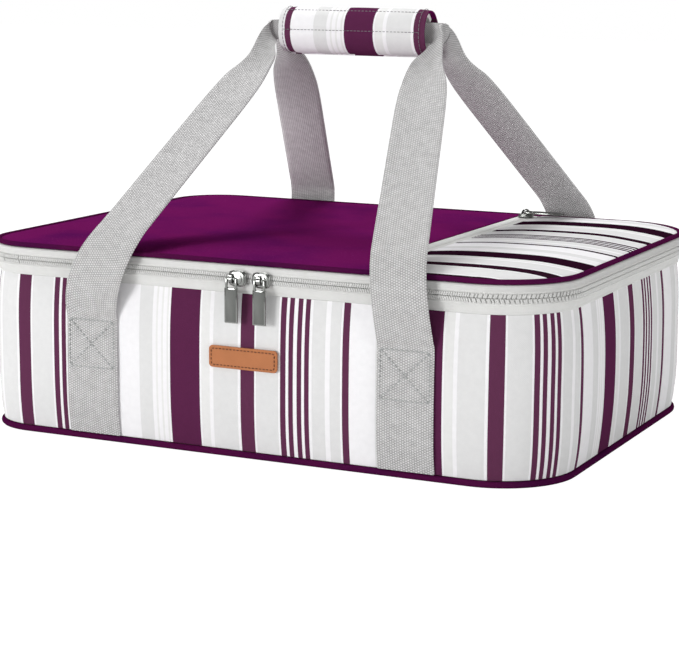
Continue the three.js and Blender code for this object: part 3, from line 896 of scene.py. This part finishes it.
class CARRIER_OT_pocket_zip(bpy.types.Operator):
    """Make the tapes and teeth of the pocket zip."""

    bl_idname = "carrier.pocket_zip"
    bl_label = "Pocket Zip"
    bl_options = {"REGISTER", "UNDO"}

    def execute(self, context):
        s = sizes()
        reach = s.depth / 2 - LID_EDGE - 0.4 * MM
        rows = 60
        ys = [reach * math.sin(math.pi * (j / rows - 0.5)) for j in range(rows + 1)]
        for side, sign in (("left", -1), ("right", 1)):
            low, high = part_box("pocket_tape_" + side)
            x0 = low.x - (ZIP_SHOWS if sign < 0 else 0.0)
            x1 = high.x + (ZIP_SHOWS if sign > 0 else 0.0)
            rim = 0.4 * MM
            section = [(x0, -0.6), (x1, -0.6), (x1, 0.2), (x1 - rim, 0.35), (x0 + rim, 0.35), (x0, 0.2)]
            rings = []
            for y in ys:
                z = lid_height(s.pocket_x, y) - 0.9 * MM
                points = [Vector((x, y, z + h * MM)) for x, h in section]
                rings.append(Ring(points, y, [x for x, _ in section]))
            node = "pocket_tape_" + side
            make_piece("pocket_edge_" + side, sweep(rings), ["zip_tape"], "lid", [node], 40.0)
            bm = bmesh.new()
            lie = Matrix.Rotation(math.radians(90), 4, "Y") @ Matrix.Rotation(math.radians(90), 4, "Z")
            places = []
            for i in range(int(2 * reach / s.tooth)):
                y = -reach + (i + 0.5 + 0.25 * sign) * s.tooth
                z = lid_height(s.pocket_x, y) - 0.85 * MM
                places.append(Matrix.Translation((s.pocket_x + sign * 0.75 * MM, y, z)) @ lie)
            tooth_row(bm, places, length=1.5 * MM, width=1.1 * MM, depth=0.9 * MM)
            node = "pocket_coil_" + side
            make_piece("pocket_teeth_" + side, bm, ["zip_coil"], "lid", [node], 30.0)
        return {"FINISHED"}


class CARRIER_OT_lining(bpy.types.Operator):
    """Make the creased foil lining of the case and lid."""

    bl_idname = "carrier.lining"
    bl_label = "Foil Lining"
    bl_options = {"REGISTER", "UNDO"}

    def execute(self, context):
        stations = outline(step=8 * MM, corner_steps=12)
        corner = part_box("wall_liner")[1]
        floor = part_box("floor_liner")[0].z
        top, outer = corner.z, corner.x - sizes().length / 2
        inset, fold, film, rows = 11.6 * MM, 0.8 * MM, 0.7 * MM, 10
        rise = [floor + (top - fold - floor) * i / rows for i in range(rows + 1)]
        over = [(outer, top - fold), (outer, top), (-inset, top)]
        shown = [(-inset, z) for z in reversed(rise)]
        behind = [(film - inset, floor), (film - inset, top - fold)]

        def crease(station, point, index):
            """Creases the side that shows."""
            if not len(over) <= index < len(over) + len(shown):
                return Vector()
            return Vector((station.nx, station.ny, 0)) * (-0.7 * MM * (1 + soft(point, 45.0)))

        bm = sweep_outline(stations, over + shown + behind, True, crease)
        made = make_piece("wall_foil", bm, ["foil"], "case", ["wall_liner"], 40.0)
        around = stations[-1].arc - stations[0].arc - 2 * math.pi * inset
        self.declare(made, (around, self.cut(made) / around), "wall_insulation")
        for name, node, body, face, under in (
            ("floor_foil", "floor_liner", "case", 1, "bottom_insulation"),
            ("lid_foil", "lid_liner", "lid", -1, "lid_insulation"),
        ):
            low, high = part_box(node)
            edge = sizes().length / 2 - high.x
            level = low.z if face > 0 else high.z
            sheet = bmesh.new()
            base = sheet.faces.new([sheet.verts.new(s.at(-edge, level)) for s in stations[:-1]])
            for _ in range(6):
                bmesh.ops.inset_region(sheet, faces=[base], thickness=19 * MM, use_even_offset=True)
            back = bmesh.ops.extrude_face_region(sheet, geom=list(sheet.faces))["geom"]
            for vert in verts_in(back):
                vert.co.z += face * (0.5 * MM + 0.3 * MM * (1 + soft(vert.co, 40.0)))
            bmesh.ops.recalc_face_normals(sheet, faces=sheet.faces)
            made = make_piece(name, sheet, ["foil"], body, [node], 40.0)
            self.declare(made, (high.x - low.x, high.y - low.y), under)
        return {"FINISHED"}

    def cut(self, piece):
        """Area of one side of a thin piece."""
        return sum(face.area for face in piece.data.polygons) / 2

    def declare(self, piece, flat, under):
        """Does nothing."""


# Webbing

def on_wall(z):
    """How far out the middle of the sewn webbing lies at a height."""
    return 1.15 * MM - wall_tuck(z)


def webbing_points(grip_end, lean):
    """Half of a handle from its foot into the grip: point, width direction, chord share and fold."""
    s = sizes()
    right = Vector((1, 0, 0))
    up = Vector((0, 0, 1))
    face = -s.depth / 2
    sewn = s.sewn_top + 0.3 * MM
    foot = WALL_SPAN[0] + 0.3 * MM
    heights = (foot, 0.02, 0.04, 0.06, sewn)
    track = [(Vector((s.strap_x, face - on_wall(z), z)), right, 1.0, 0.0) for z in heights]
    # Guides: just above the stitching, out past the lid's edge, and at the end of the grip.
    start = track[-1][0]
    low = Vector((s.strap_x, face - 6 * MM, sewn + 16 * MM))
    high = Vector((s.strap_x - 0.9 * lean, face - 19 * MM, LID_CORD[1].z - 5 * MM))
    reach = Vector((grip_end + 5 * MM, -15.6 * MM, GRIP_Z - 12 * MM))
    along = (reach - high).normalized()
    leave = high + along * 34 * MM
    for t in [k / 10 for k in range(1, 10)]:
        r = 1 - t
        point = start * r ** 3 + low * 3 * r * r * t + high * 3 * r * t * t + leave * t ** 3
        ahead = ((low - start) * r * r + (high - low) * 2 * r * t + (leave - high) * t * t).normalized()
        track.append((point, (right - ahead * ahead.x).normalized(), 1.0 - 0.05 * t, 0.6 * MM * t))
    wide = (right - along * along.x).normalized()
    for f, chord, fold in (
        (0.0, 0.95, 0.7), (0.18, 0.94, 0.8), (0.36, 0.93, 0.9), (0.54, 0.92, 1.0),
        (0.7, 0.9, 1.1), (0.82, 0.82, 1.6), (0.95, 0.56, 2.4),
    ):
        track.append((leave.lerp(reach, f), wide, chord, fold * MM))
    turn = (wide * 0.55 + up * 0.83).normalized()
    track.append((Vector((grip_end + 6.5 * MM, -8.4 * MM, GRIP_Z - 2.5 * MM)), turn, 0.38, 2.0 * MM))
    track.append((Vector((grip_end - 4 * MM, -2.3 * MM, GRIP_Z)), up, 0.36, 0.4 * MM))
    return track


def spline(values, t):
    """A smooth curve through evenly counted values, at t from 0 to the last."""
    i = min(int(t), len(values) - 2)
    f = t - i
    a, b = values[max(i - 1, 0)], values[i]
    c, d = values[i + 1], values[min(i + 2, len(values) - 1)]
    bend = a * 2 - b * 5 + c * 4 - d
    twist = b * 3 - a - c * 3 + d
    return (b * 2 + (c - a) * f + bend * f * f + twist * f ** 3) * 0.5


def webbing_rings(face):
    """Sections of one whole handle, front (1) or back (-1)."""
    s = sizes()
    half = webbing_points(GRIP_BOX[1].x, 0.0 if face > 0 else s.back_lean)
    other = webbing_points(-GRIP_BOX[0].x, s.front_lean if face > 0 else 0.0)
    other = [(Vector((-p.x, p.y, p.z)), Vector((-w.x, w.y, w.z)), c, f) for p, w, c, f in reversed(other)]
    track = half + other
    columns = list(zip(*track))
    steps = 6
    count = (len(track) - 1) * steps
    samples = []
    for k in range(count + 1):
        t = k / steps
        wide = spline(columns[1], t).normalized()
        samples.append((spline(columns[0], t), wide, spline(columns[2], t), max(0.0, spline(columns[3], t))))
    arcs = [0.0]
    for a, b in zip(samples, samples[1:]):
        arcs.append(arcs[-1] + (b[0] - a[0]).length)
    across = [-1, -0.97, -0.8, -0.6, -0.4, -0.2, 0, 0.2, 0.4, 0.6, 0.8, 0.97, 1]
    rings = []
    for k, (point, wide, chord, fold) in enumerate(samples):
        ahead = samples[min(k + 1, count)][0] - samples[max(k - 1, 0)][0]
        normal = ahead.cross(wide).normalized()
        thick = s.webbing_thick / 2 * (1 + 0.5 * (1 - chord))
        top, low = [], []
        for w in across:
            body = point + wide * (w * chord * s.webbing / 2) + normal * (fold * (1 - w * w) * 1.6)
            rim = 0.35 if abs(w) == 1 else 1.0
            top.append(body + normal * thick * rim)
            low.append(body - normal * thick * rim)
        ring = [Vector((p.x, face * p.y, p.z)) for p in top + low[::-1]]
        places = [w * s.webbing / 2 for w in across]
        rings.append(Ring(ring, arcs[k], places + places[::-1]))
    return rings


def swap_places(bm):
    """Turns the cloth places so that the first runs across the webbing."""
    cloth = bm.loops.layers.uv["cloth"]
    for face in bm.faces:
        for loop in face.loops:
            loop[cloth].uv = loop[cloth].uv.yx


class CARRIER_OT_webbing(bpy.types.Operator):
    """Make both webbing handles with their sewn feet."""

    bl_idname = "carrier.webbing"
    bl_label = "Handle Webbing"
    bl_options = {"REGISTER", "UNDO"}

    def execute(self, context):
        # The webbing bends over this height above the stitching, in front of or behind the wall.
        for where, face in (("front", 1), ("back", -1)):
            bm = sweep(webbing_rings(face))
            swap_places(bm)
            nodes = [where + "_loop", where + "_strap_foot_left", where + "_strap_foot_right"]
            piece = make_piece(where + "_webbing", bm, ["webbing"], None, nodes, 60.0)
            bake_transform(piece)
        return {"FINISHED"}


class CARRIER_OT_stitching(bpy.types.Operator):
    """Sew the boxed crosses on the strap feet."""

    bl_idname = "carrier.stitching"
    bl_label = "Stitching"
    bl_options = {"REGISTER", "UNDO"}

    def execute(self, context):
        s = sizes()
        wide, low, high = 16.2 * MM, 48.5 * MM, s.sewn_top - 0.8 * MM
        left_low, right_low = (-wide, low), (wide, low)
        left_high, right_high = (-wide, high), (wide, high)
        box = [(left_low, right_low), (left_high, right_high), (left_low, left_high), (right_low, right_high)]
        cross = [(left_low, right_high), (left_high, right_low)]
        shares = [k / 8 for k in range(9)]
        for where, face in (("front", -1), ("back", 1)):
            bm = bmesh.new()
            for side in (-1, 1):
                for (x0, z0), (x1, z1) in box + cross:
                    line = [(x0 + (x1 - x0) * f, z0 + (z1 - z0) * f) for f in shares]
                    points = [self.on_foot(side, face, x, z) for x, z in line]
                    stitch_run(bm, points, Vector((0, face, 0)), s.stitch, radius=0.42 * MM)
            make_piece(where + "_cross_stitch", bm, ["thread"], "case")
        return {"FINISHED"}

    def on_foot(self, side, face, across, z):
        """A point on the outside of a sewn webbing end."""
        s = sizes()
        y = s.depth / 2 + on_wall(z) + s.webbing_thick / 2
        return Vector((side * s.strap_x + across, face * y, z))


def rounded(width, height, radius, steps=5):
    """Outline of a rectangle with round corners."""
    points = []
    for sx, sy, begin in ((1, 1, 0), (-1, 1, 90), (-1, -1, 180), (1, -1, 270)):
        x, y = sx * (width / 2 - radius), sy * (height / 2 - radius)
        for i in range(steps + 1):
            a = math.radians(begin + 90 * i / steps)
            points.append((x + radius * math.cos(a), y + radius * math.sin(a)))
    return points


def slab(points, depth, bevel, segments, place):
    """A flat plate from an outline in X and Z, its front to -Y, with softened edges, set in its place."""
    bm = bmesh.new()
    face = bm.faces.new([bm.verts.new((x, 0.0, z)) for x, z in points])
    made = bmesh.ops.extrude_face_region(bm, geom=[face])["geom"]
    bmesh.ops.translate(bm, vec=(0, -depth, 0), verts=verts_in(made))
    bmesh.ops.recalc_face_normals(bm, faces=bm.faces)
    rims = [e for e in bm.edges if abs(e.verts[0].co.y - e.verts[1].co.y) < 1e-9 and e.is_manifold]
    bmesh.ops.bevel(bm, geom=rims, offset=bevel, segments=segments, affect="EDGES", profile=0.5, material=-1)
    bmesh.ops.transform(bm, matrix=place, verts=bm.verts)
    return bm


class CARRIER_OT_patch(bpy.types.Operator):
    """Make the bare leather patch and its dashed seam."""

    bl_idname = "carrier.patch"
    bl_label = "Leather Patch"
    bl_options = {"REGISTER", "UNDO"}

    def execute(self, context):
        low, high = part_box("patch")
        width, height = high.x - low.x, high.z - low.z
        middle = Vector((0, high.y, (low.z + high.z) / 2))
        thick, edge, groove, sunk = 1.5 * MM, 0.45 * MM, 0.4 * MM, 0.16 * MM
        hide = slab(rounded(width, height, 2.4 * MM), thick, edge, 3, Matrix.Translation(middle))
        front = [f for f in hide.faces if f.normal.y < -0.9 and f.calc_area() > 1e-4]
        bmesh.ops.inset_region(hide, faces=front, thickness=0.95 * MM, use_even_offset=True)
        ditch = bmesh.ops.inset_region(hide, faces=front, thickness=groove, use_even_offset=True)["faces"]
        bmesh.ops.translate(hide, vec=(0, sunk, 0), verts=list({v for f in ditch for v in f.verts}))
        bmesh.ops.inset_region(hide, faces=front, thickness=groove, use_even_offset=True)
        bmesh.ops.translate(hide, vec=(0, -sunk, 0), verts=list({v for f in front for v in f.verts}))
        make_piece("leather_patch", hide, ["leather"], "case", ["patch"], 12.0)
        seam = bmesh.new()
        inside = 3.6 * MM
        loop = rounded(width - inside, height - inside, 1.0 * MM, steps=4)
        points = [middle + Vector((x, -1.42 * MM, z)) for x, z in loop + loop[:1]]
        stitch_run(seam, points, Vector((0, -1, 0)), 2.5 * MM, share=0.66, radius=0.3 * MM, lift=0.05 * MM)
        make_piece("patch_seam", seam, ["patch_thread"], "case")
        return {"FINISHED"}


def slider_body(shift):
    """A domed slider plate and a bail, zip along X and front to -Y; shift moves the plate along the zip."""
    bm = bmesh.new()
    side = [(6.2, 2.4), (5.2, 4.2), (2.4, 5.0), (-2.4, 5.0), (-5.2, 4.2), (-6.2, 2.4)]
    plate = side + [(x, -z) for x, z in reversed(side)]
    for size, front, depth in ((1.0, 2.0, 1.6), (0.86, 3.4, 0.9), (0.6, 4.1, 0.8)):
        points = [((x * size + shift) * MM, z * size * MM) for x, z in plate]
        join_into(bm, slab(points, depth * MM, 0.55 * depth * MM, 3, Matrix.Translation((0, -front * MM, 0))))
    section = [(1.35, 0.0), (1.0, 0.5), (-1.0, 0.5), (-1.35, 0.0), (-1.0, -0.5), (1.0, -0.5)]
    steps = 16
    rings = []
    for k in range(steps + 1):
        a = math.pi * k / steps
        centre = Vector((0, -(4.1 + 3.2 * math.sin(a)) * MM, 2.65 * MM * math.cos(a)))
        radial = Vector((0, -math.sin(a), math.cos(a)))
        points = [centre + Vector((x * MM, 0, 0)) + radial * (r * MM) for x, r in section]
        rings.append(Ring(points, k * MM, [0.0] * len(section)))
    join_into(bm, sweep(rings))
    return bm


def pull_mesh():
    """A pull: a top bar and two side bars round a window, and the long plate under it."""
    bm = bmesh.new()
    thick, bevel = 1.4 * MM, 0.5 * MM
    # Left, right, lower and upper edge of each, in millimetres from the pin.
    for x0, x1, z0, z1 in (
        (-3.3, 3.3, -0.8, 0.85), (-4.1, -2.45, -7.0, 0.4), (2.45, 4.1, -7.0, 0.4), (-4.5, 4.5, -27.5, -5.6),
    ):
        bar = bmesh.new()
        bmesh.ops.create_cube(bar, size=1.0)
        bmesh.ops.scale(bar, vec=((x1 - x0) * MM, thick, (z1 - z0) * MM), verts=bar.verts)
        bmesh.ops.translate(bar, vec=((x0 + x1) / 2 * MM, 0, (z0 + z1) / 2 * MM), verts=bar.verts)
        bmesh.ops.bevel(
            bar, geom=bar.edges, offset=bevel, segments=2, affect="EDGES", profile=0.5, material=-1
        )
        join_into(bm, bar)
    return bm


class CARRIER_OT_pulls(bpy.types.Operator):
    """Make the three zip sliders and their pulls."""

    bl_idname = "carrier.pulls"
    bl_label = "Sliders and Pulls"
    bl_options = {"REGISTER", "UNDO"}

    def execute(self, context):
        stand = Matrix.Identity(4)
        lie = Matrix(((0, 0, -1, 0), (1, 0, 0, 0), (0, -1, 0, 0), (0, 0, 0, 1)))
        s = sizes()
        rows = []
        for side in ("left", "right"):
            low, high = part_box("zip_slider_" + side)
            spot = Vector(((low.x + high.x) / 2, -s.depth / 2, ZIP_Z))
            nodes = "zip_slider_" + side, "zip_pull_" + side
            rows.append((side, stand, spot, *nodes, "slider_" + side, "pull_" + side))
        low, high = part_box("pocket_slider")
        spot = Vector(((low.x + high.x) / 2, (low.y + high.y) / 2, high.z - 8 * MM))
        rows.append(("pocket", lie, spot, "pocket_slider", "pocket_pull", "pocket_slider", "pocket_pull"))
        plate = rounded(7.2 * MM, 20.2 * MM, 0.4 * MM, steps=2)
        for label, turn, spot, slider_node, pull_node, slider_rides, pull_rides in rows:
            # The left plate is pushed up to the right one.
            bm = slider_body(shift=3.0 if label == "left" else 0.0)
            bmesh.ops.transform(bm, matrix=Matrix.Translation(spot) @ turn, verts=bm.verts)
            make_piece("slider_of_" + label, bm, ["nickel"], slider_rides, [slider_node], 35.0)
            bm = pull_mesh()
            hang = Matrix.Translation(spot) @ turn @ Matrix.Translation((0, -5.4 * MM, 0))
            bmesh.ops.transform(bm, matrix=hang, verts=bm.verts)
            make_piece("pull_of_" + label, bm, ["nickel"], pull_rides, [pull_node], 35.0)
            front = hang @ Matrix.Translation((0, -0.64 * MM, -16.6 * MM))
            dull = slab(plate, 0.1 * MM, 0.03 * MM, 1, front)
            make_piece("face_of_" + label, dull, ["nickel_flat"], pull_rides)
        return {"FINISHED"}


# Grip

def grip_point(angle, off):
    """A point of the grip's section: angle from the front over the top, offset from its outside."""
    a = math.radians(angle)
    return Vector((GRIP_X, -(GRIP_DEEP + off) * math.cos(a), GRIP_Z + (GRIP_TALL + off) * math.sin(a)))


def grip_cloth(begin, end, outer, inner, steps, length, swell=0.0, seed=0.0, rise=0.0):
    """A strip of cloth round the grip between two angles; rise lifts it away from where it starts."""
    rows = 36
    shares = [k / steps for k in range(steps + 1)]
    around = [f * math.radians(end - begin) * (GRIP_DEEP + GRIP_TALL) / 2 for f in shares]
    rings = []
    for i in range(rows + 1):
        x = -length / 2 + length * i / rows
        ease = min(1.0, 10 * min(i, rows - i) / rows)
        top, low = [], []
        for f in shares:
            angle = begin + (end - begin) * f
            edge = min(1.0, 8 * min(f, 1 - f))
            lift = rise * min(1, f / 0.6)
            wrinkle = 0.25 * MM * soft(Vector((x, f * 0.05, 0)), 60.0, seed) * ease
            puff = (swell * (ease - 0.6) + wrinkle) * edge
            if swell:
                for seam, depth in zip(GRIP_SEAMS, (0.5 * MM, 0.4 * MM)):
                    puff -= depth * math.exp(-((angle - seam) / 5) ** 2)
            top.append(grip_point(angle, outer + lift + puff) + Vector((x, 0, 0)))
            low.append(grip_point(angle, inner + lift) + Vector((x, 0, 0)))
        rings.append(Ring(top + low[::-1], x + GRIP_X, around + around[::-1]))
    return sweep(rings)


class CARRIER_OT_grip(bpy.types.Operator):
    """Make the striped grip wrap, its flap and its closing strips."""

    bl_idname = "carrier.grip"
    bl_label = "Grip"
    bl_options = {"REGISTER", "UNDO"}

    def execute(self, context):
        length = GRIP_BOX[1].x - GRIP_BOX[0].x
        wrap = grip_cloth(-140, 140, 0.0, -1.5 * MM, 56, length, swell=0.9 * MM, seed=2.0)
        for face in wrap.faces:
            spoke = face.calc_center_median() - Vector((0, 0, GRIP_Z))
            spoke.x = 0
            face.material_index = 1 if abs(face.normal.x) > 0.7 or face.normal.dot(spoke) < 0 else 0
        finishes = ["grip_stripe", "lid_twill"]
        made = make_piece("grip_cloth", wrap, finishes, "front_handle", ["grip_wrap"], 60.0)

        def stitched(point):
            """The seams, the edges and the inner side stay put."""
            y, z = point.y / GRIP_DEEP, (point.z - GRIP_Z) / GRIP_TALL
            angle = math.degrees(math.atan2(z, -y))
            seam = min(abs(angle - a) for a in (*GRIP_SEAMS, -136, 136)) < 4
            end = abs(point.x - GRIP_X) > length / 2 - 4 * MM
            return seam or end or math.hypot(y, z) < 0.94

        plump(made, stitched, 0.8 * MM)
        flap = grip_cloth(142, 247, 0.0, -1.4 * MM, 22, length, seed=5.0, rise=2.9 * MM)
        made = make_piece(
            "flap_cloth", flap, ["grip_stripe"], "grip_flap", ["grip_flap"], 60.0
        )
        for name, node, body, inner in (
            ("loop_tape", "loop_strip", "front_handle", 0.3 * MM),
            ("hook_tape", "hook_strip", "grip_flap", 0.9 * MM),
        ):
            tape = grip_cloth(223, 244, inner + 0.55 * MM, inner, 8, length - 16 * MM)
            make_piece(name, tape, ["hook_loop"], body, [node], 60.0)
        reach = length / 2 - 3.5 * MM
        steps = 40
        rows = []
        for angle in GRIP_SEAMS:
            xs = [-reach + 2 * reach * k / steps for k in range(steps + 1)]
            rows.append([grip_point(angle, -0.1 * MM) + Vector((x, 0, 0)) for x in xs])
        for x in (-reach, reach):
            rows.append([grip_point(a, 0.25 * MM) + Vector((x, 0, 0)) for a in range(-130, 131, 4)])
        seams = bmesh.new()
        for row in rows:
            stitch_run(seams, row, self.outward, 2.6 * MM, share=0.8, radius=0.22 * MM, lift=0.1 * MM)
        make_piece("grip_seams", seams, ["dark_thread"], "front_handle")
        return {"FINISHED"}

    def outward(self, point):
        """Direction away from the grip at a point on it."""
        return Vector((0, point.y / GRIP_DEEP ** 2, (point.z - GRIP_Z) / GRIP_TALL ** 2)).normalized()


class CARRIER_OT_inner(bpy.types.Operator):
    """Give the foam and board inside their finish."""

    bl_idname = "carrier.inner"
    bl_label = "Inner Layers"
    bl_options = {"REGISTER", "UNDO"}

    def execute(self, context):
        for node, kind in (
            ("wall_insulation", "foam"), ("bottom_insulation", "foam"), ("lid_insulation", "foam"),
            ("grip_padding", "foam"), ("base_board", "board"), ("lid_backing", "lid_twill"),
        ):
            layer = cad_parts[node]
            layer.data.materials.clear()
            layer.data.materials.append(finish_for(kind))
        return {"FINISHED"}


class CARRIER_OT_stage(bpy.types.Operator):
    """Set the floor, lights and camera."""

    bl_idname = "carrier.stage"
    bl_label = "Studio"
    bl_options = {"REGISTER", "UNDO"}

    def execute(self, context):
        scene = context.scene
        scene.view_settings.view_transform = "Standard"
        bm = bmesh.new()
        bmesh.ops.create_grid(bm, x_segments=1, y_segments=1, size=6.0)
        mesh = bpy.data.meshes.new("studio_floor")
        bm.to_mesh(mesh)
        bm.free()
        floor = bpy.data.objects.new("studio_floor", mesh)
        floor.location.z = -0.0005
        scene.collection.objects.link(floor)
        mesh.materials.append(self.white_floor())
        world = bpy.data.worlds.new("studio")
        world.use_nodes = True
        world.node_tree.nodes["Background"].inputs[0].default_value = (1, 1, 1, 1)
        world.node_tree.nodes["Background"].inputs[1].default_value = 0.25
        self.white_to_camera(world.node_tree)
        scene.world = world
        for name, place, size, power in (
            ("key", (-1.0, -2.2, 0.4), 0.8, 27.0), ("side", (1.7, -0.7, 0.5), 0.9, 9.0),
            ("top", (-0.9, -0.5, 1.9), 0.5, 9.0), ("back", (-0.4, 0.8, 1.9), 0.8, 26.0),
        ):
            self.lamp(name, "AREA", place, (0, 0, 0.1), power).size = size
        # A narrow low lamp reaches the underside of the back loop, as a reflector on the table does.
        under = self.lamp("under_loop", "SPOT", (-1.9, -1.1, 0.1), (-0.085, 0.1, 0.165), 110.0)
        under.spot_size = math.radians(3.8)
        under.spot_blend = 0.7
        under.shadow_soft_size = 0.03
        # The camera as fitted to the edges and seams of the case.
        camera = bpy.data.cameras.new("camera")
        camera.sensor_width = 36.0
        camera.lens = 109.2
        azimuth, elevation, distance = math.radians(25.62), math.radians(10.22), 1.4038
        aim = Vector((-0.00685, 0, 0.06157))
        flat = math.cos(elevation)
        back = Vector((math.sin(azimuth) * flat, -math.cos(azimuth) * flat, math.sin(elevation)))
        viewer = bpy.data.objects.new("camera", camera)
        viewer.location = aim + back * distance
        level = (-back).to_track_quat("-Z", "Y").to_matrix()
        viewer.rotation_euler = (level @ Matrix.Rotation(math.radians(0.45), 3, "Z")).to_euler()
        scene.collection.objects.link(viewer)
        scene.camera = viewer
        return {"FINISHED"}

    def lamp(self, name, kind, place, aim, power):
        """A light that looks at a point."""
        light = bpy.data.lights.new(name, kind)
        light.energy = power
        lamp = bpy.data.objects.new(name, light)
        lamp.location = place
        lamp.rotation_euler = (Vector(aim) - Vector(place)).to_track_quat("-Z", "Y").to_euler()
        bpy.context.scene.collection.objects.link(lamp)
        return light

    def white_floor(self):
        """White to the camera, and pale with soft shadows to everything else."""
        finish = Finish("studio_floor", 0.9)
        finish.shader.inputs["Base Color"].default_value = (0.86, 0.86, 0.86, 1.0)
        path = finish.add("ShaderNodeLightPath")
        glow = finish.add("ShaderNodeEmission", {"Color": (1, 1, 1, 1), "Strength": 1.2})
        share = finish.math("MULTIPLY", path.outputs["Is Camera Ray"], 0.82)
        mixed = finish.add("ShaderNodeMixShader", {0: share, 1: finish.shader.outputs[0], 2: glow.outputs[0]})
        output = finish.tree.nodes["Material Output"]
        finish.tree.links.new(mixed.outputs[0], output.inputs[0])
        return finish.material

    def white_to_camera(self, tree):
        """White behind the object, at the lighting level for everything else."""
        path = tree.nodes.new("ShaderNodeLightPath")
        plain = tree.nodes.new("ShaderNodeBackground")
        plain.inputs[0].default_value = (1, 1, 1, 1)
        plain.inputs[1].default_value = 1.0
        either = tree.nodes.new("ShaderNodeMath")
        either.operation = "MAXIMUM"
        mixed = tree.nodes.new("ShaderNodeMixShader")
        tree.links.new(path.outputs["Is Camera Ray"], either.inputs[0])
        tree.links.new(path.outputs["Is Transmission Ray"], either.inputs[1])
        tree.links.new(either.outputs[0], mixed.inputs[0])
        tree.links.new(tree.nodes["Background"].outputs[0], mixed.inputs[1])
        tree.links.new(plain.outputs[0], mixed.inputs[2])
        tree.links.new(mixed.outputs[0], tree.nodes["World Output"].inputs[0])


OPERATORS = (
    CARRIER_OT_wall,
    CARRIER_OT_bottom,
    CARRIER_OT_zip,
    CARRIER_OT_lid,
    CARRIER_OT_pocket_zip,
    CARRIER_OT_lining,
    CARRIER_OT_webbing,
    CARRIER_OT_stitching,
    CARRIER_OT_patch,
    CARRIER_OT_pulls,
    CARRIER_OT_grip,
    CARRIER_OT_inner,
    CARRIER_OT_stage,
)


class CARRIER_PT_panel(bpy.types.Panel):
    """Lists the carrier's pieces."""

    bl_idname = "CARRIER_PT_panel"
    bl_label = "Casserole Carrier"
    bl_space_type = "VIEW_3D"
    bl_region_type = "UI"
    bl_category = "Carrier"

    def draw(self, context):
        for cls in OPERATORS:
            self.layout.operator(cls.bl_idname)


CLASSES = (CARRIER_PG_sizes, CARRIER_PG_colours, *OPERATORS, CARRIER_PT_panel)


def register():
    for cls in CLASSES:
        bpy.utils.register_class(cls)
    bpy.types.Scene.carrier_sizes = PointerProperty(type=CARRIER_PG_sizes)
    bpy.types.Scene.carrier_colours = PointerProperty(type=CARRIER_PG_colours)


def unregister():
    del bpy.types.Scene.carrier_colours
    del bpy.types.Scene.carrier_sizes
    for cls in reversed(CLASSES):
        bpy.utils.unregister_class(cls)


def main():
    register()
    bpy.ops.carrier.wall()
    bpy.ops.carrier.bottom()
    bpy.ops.carrier.zip()
    bpy.ops.carrier.lid()
    bpy.ops.carrier.pocket_zip()
    bpy.ops.carrier.lining()
    bpy.ops.carrier.webbing()
    bpy.ops.carrier.stitching()
    bpy.ops.carrier.patch()
    bpy.ops.carrier.pulls()
    bpy.ops.carrier.grip()
    bpy.ops.carrier.inner()
    bpy.ops.carrier.stage()


if __name__ == "__main__":
    main()
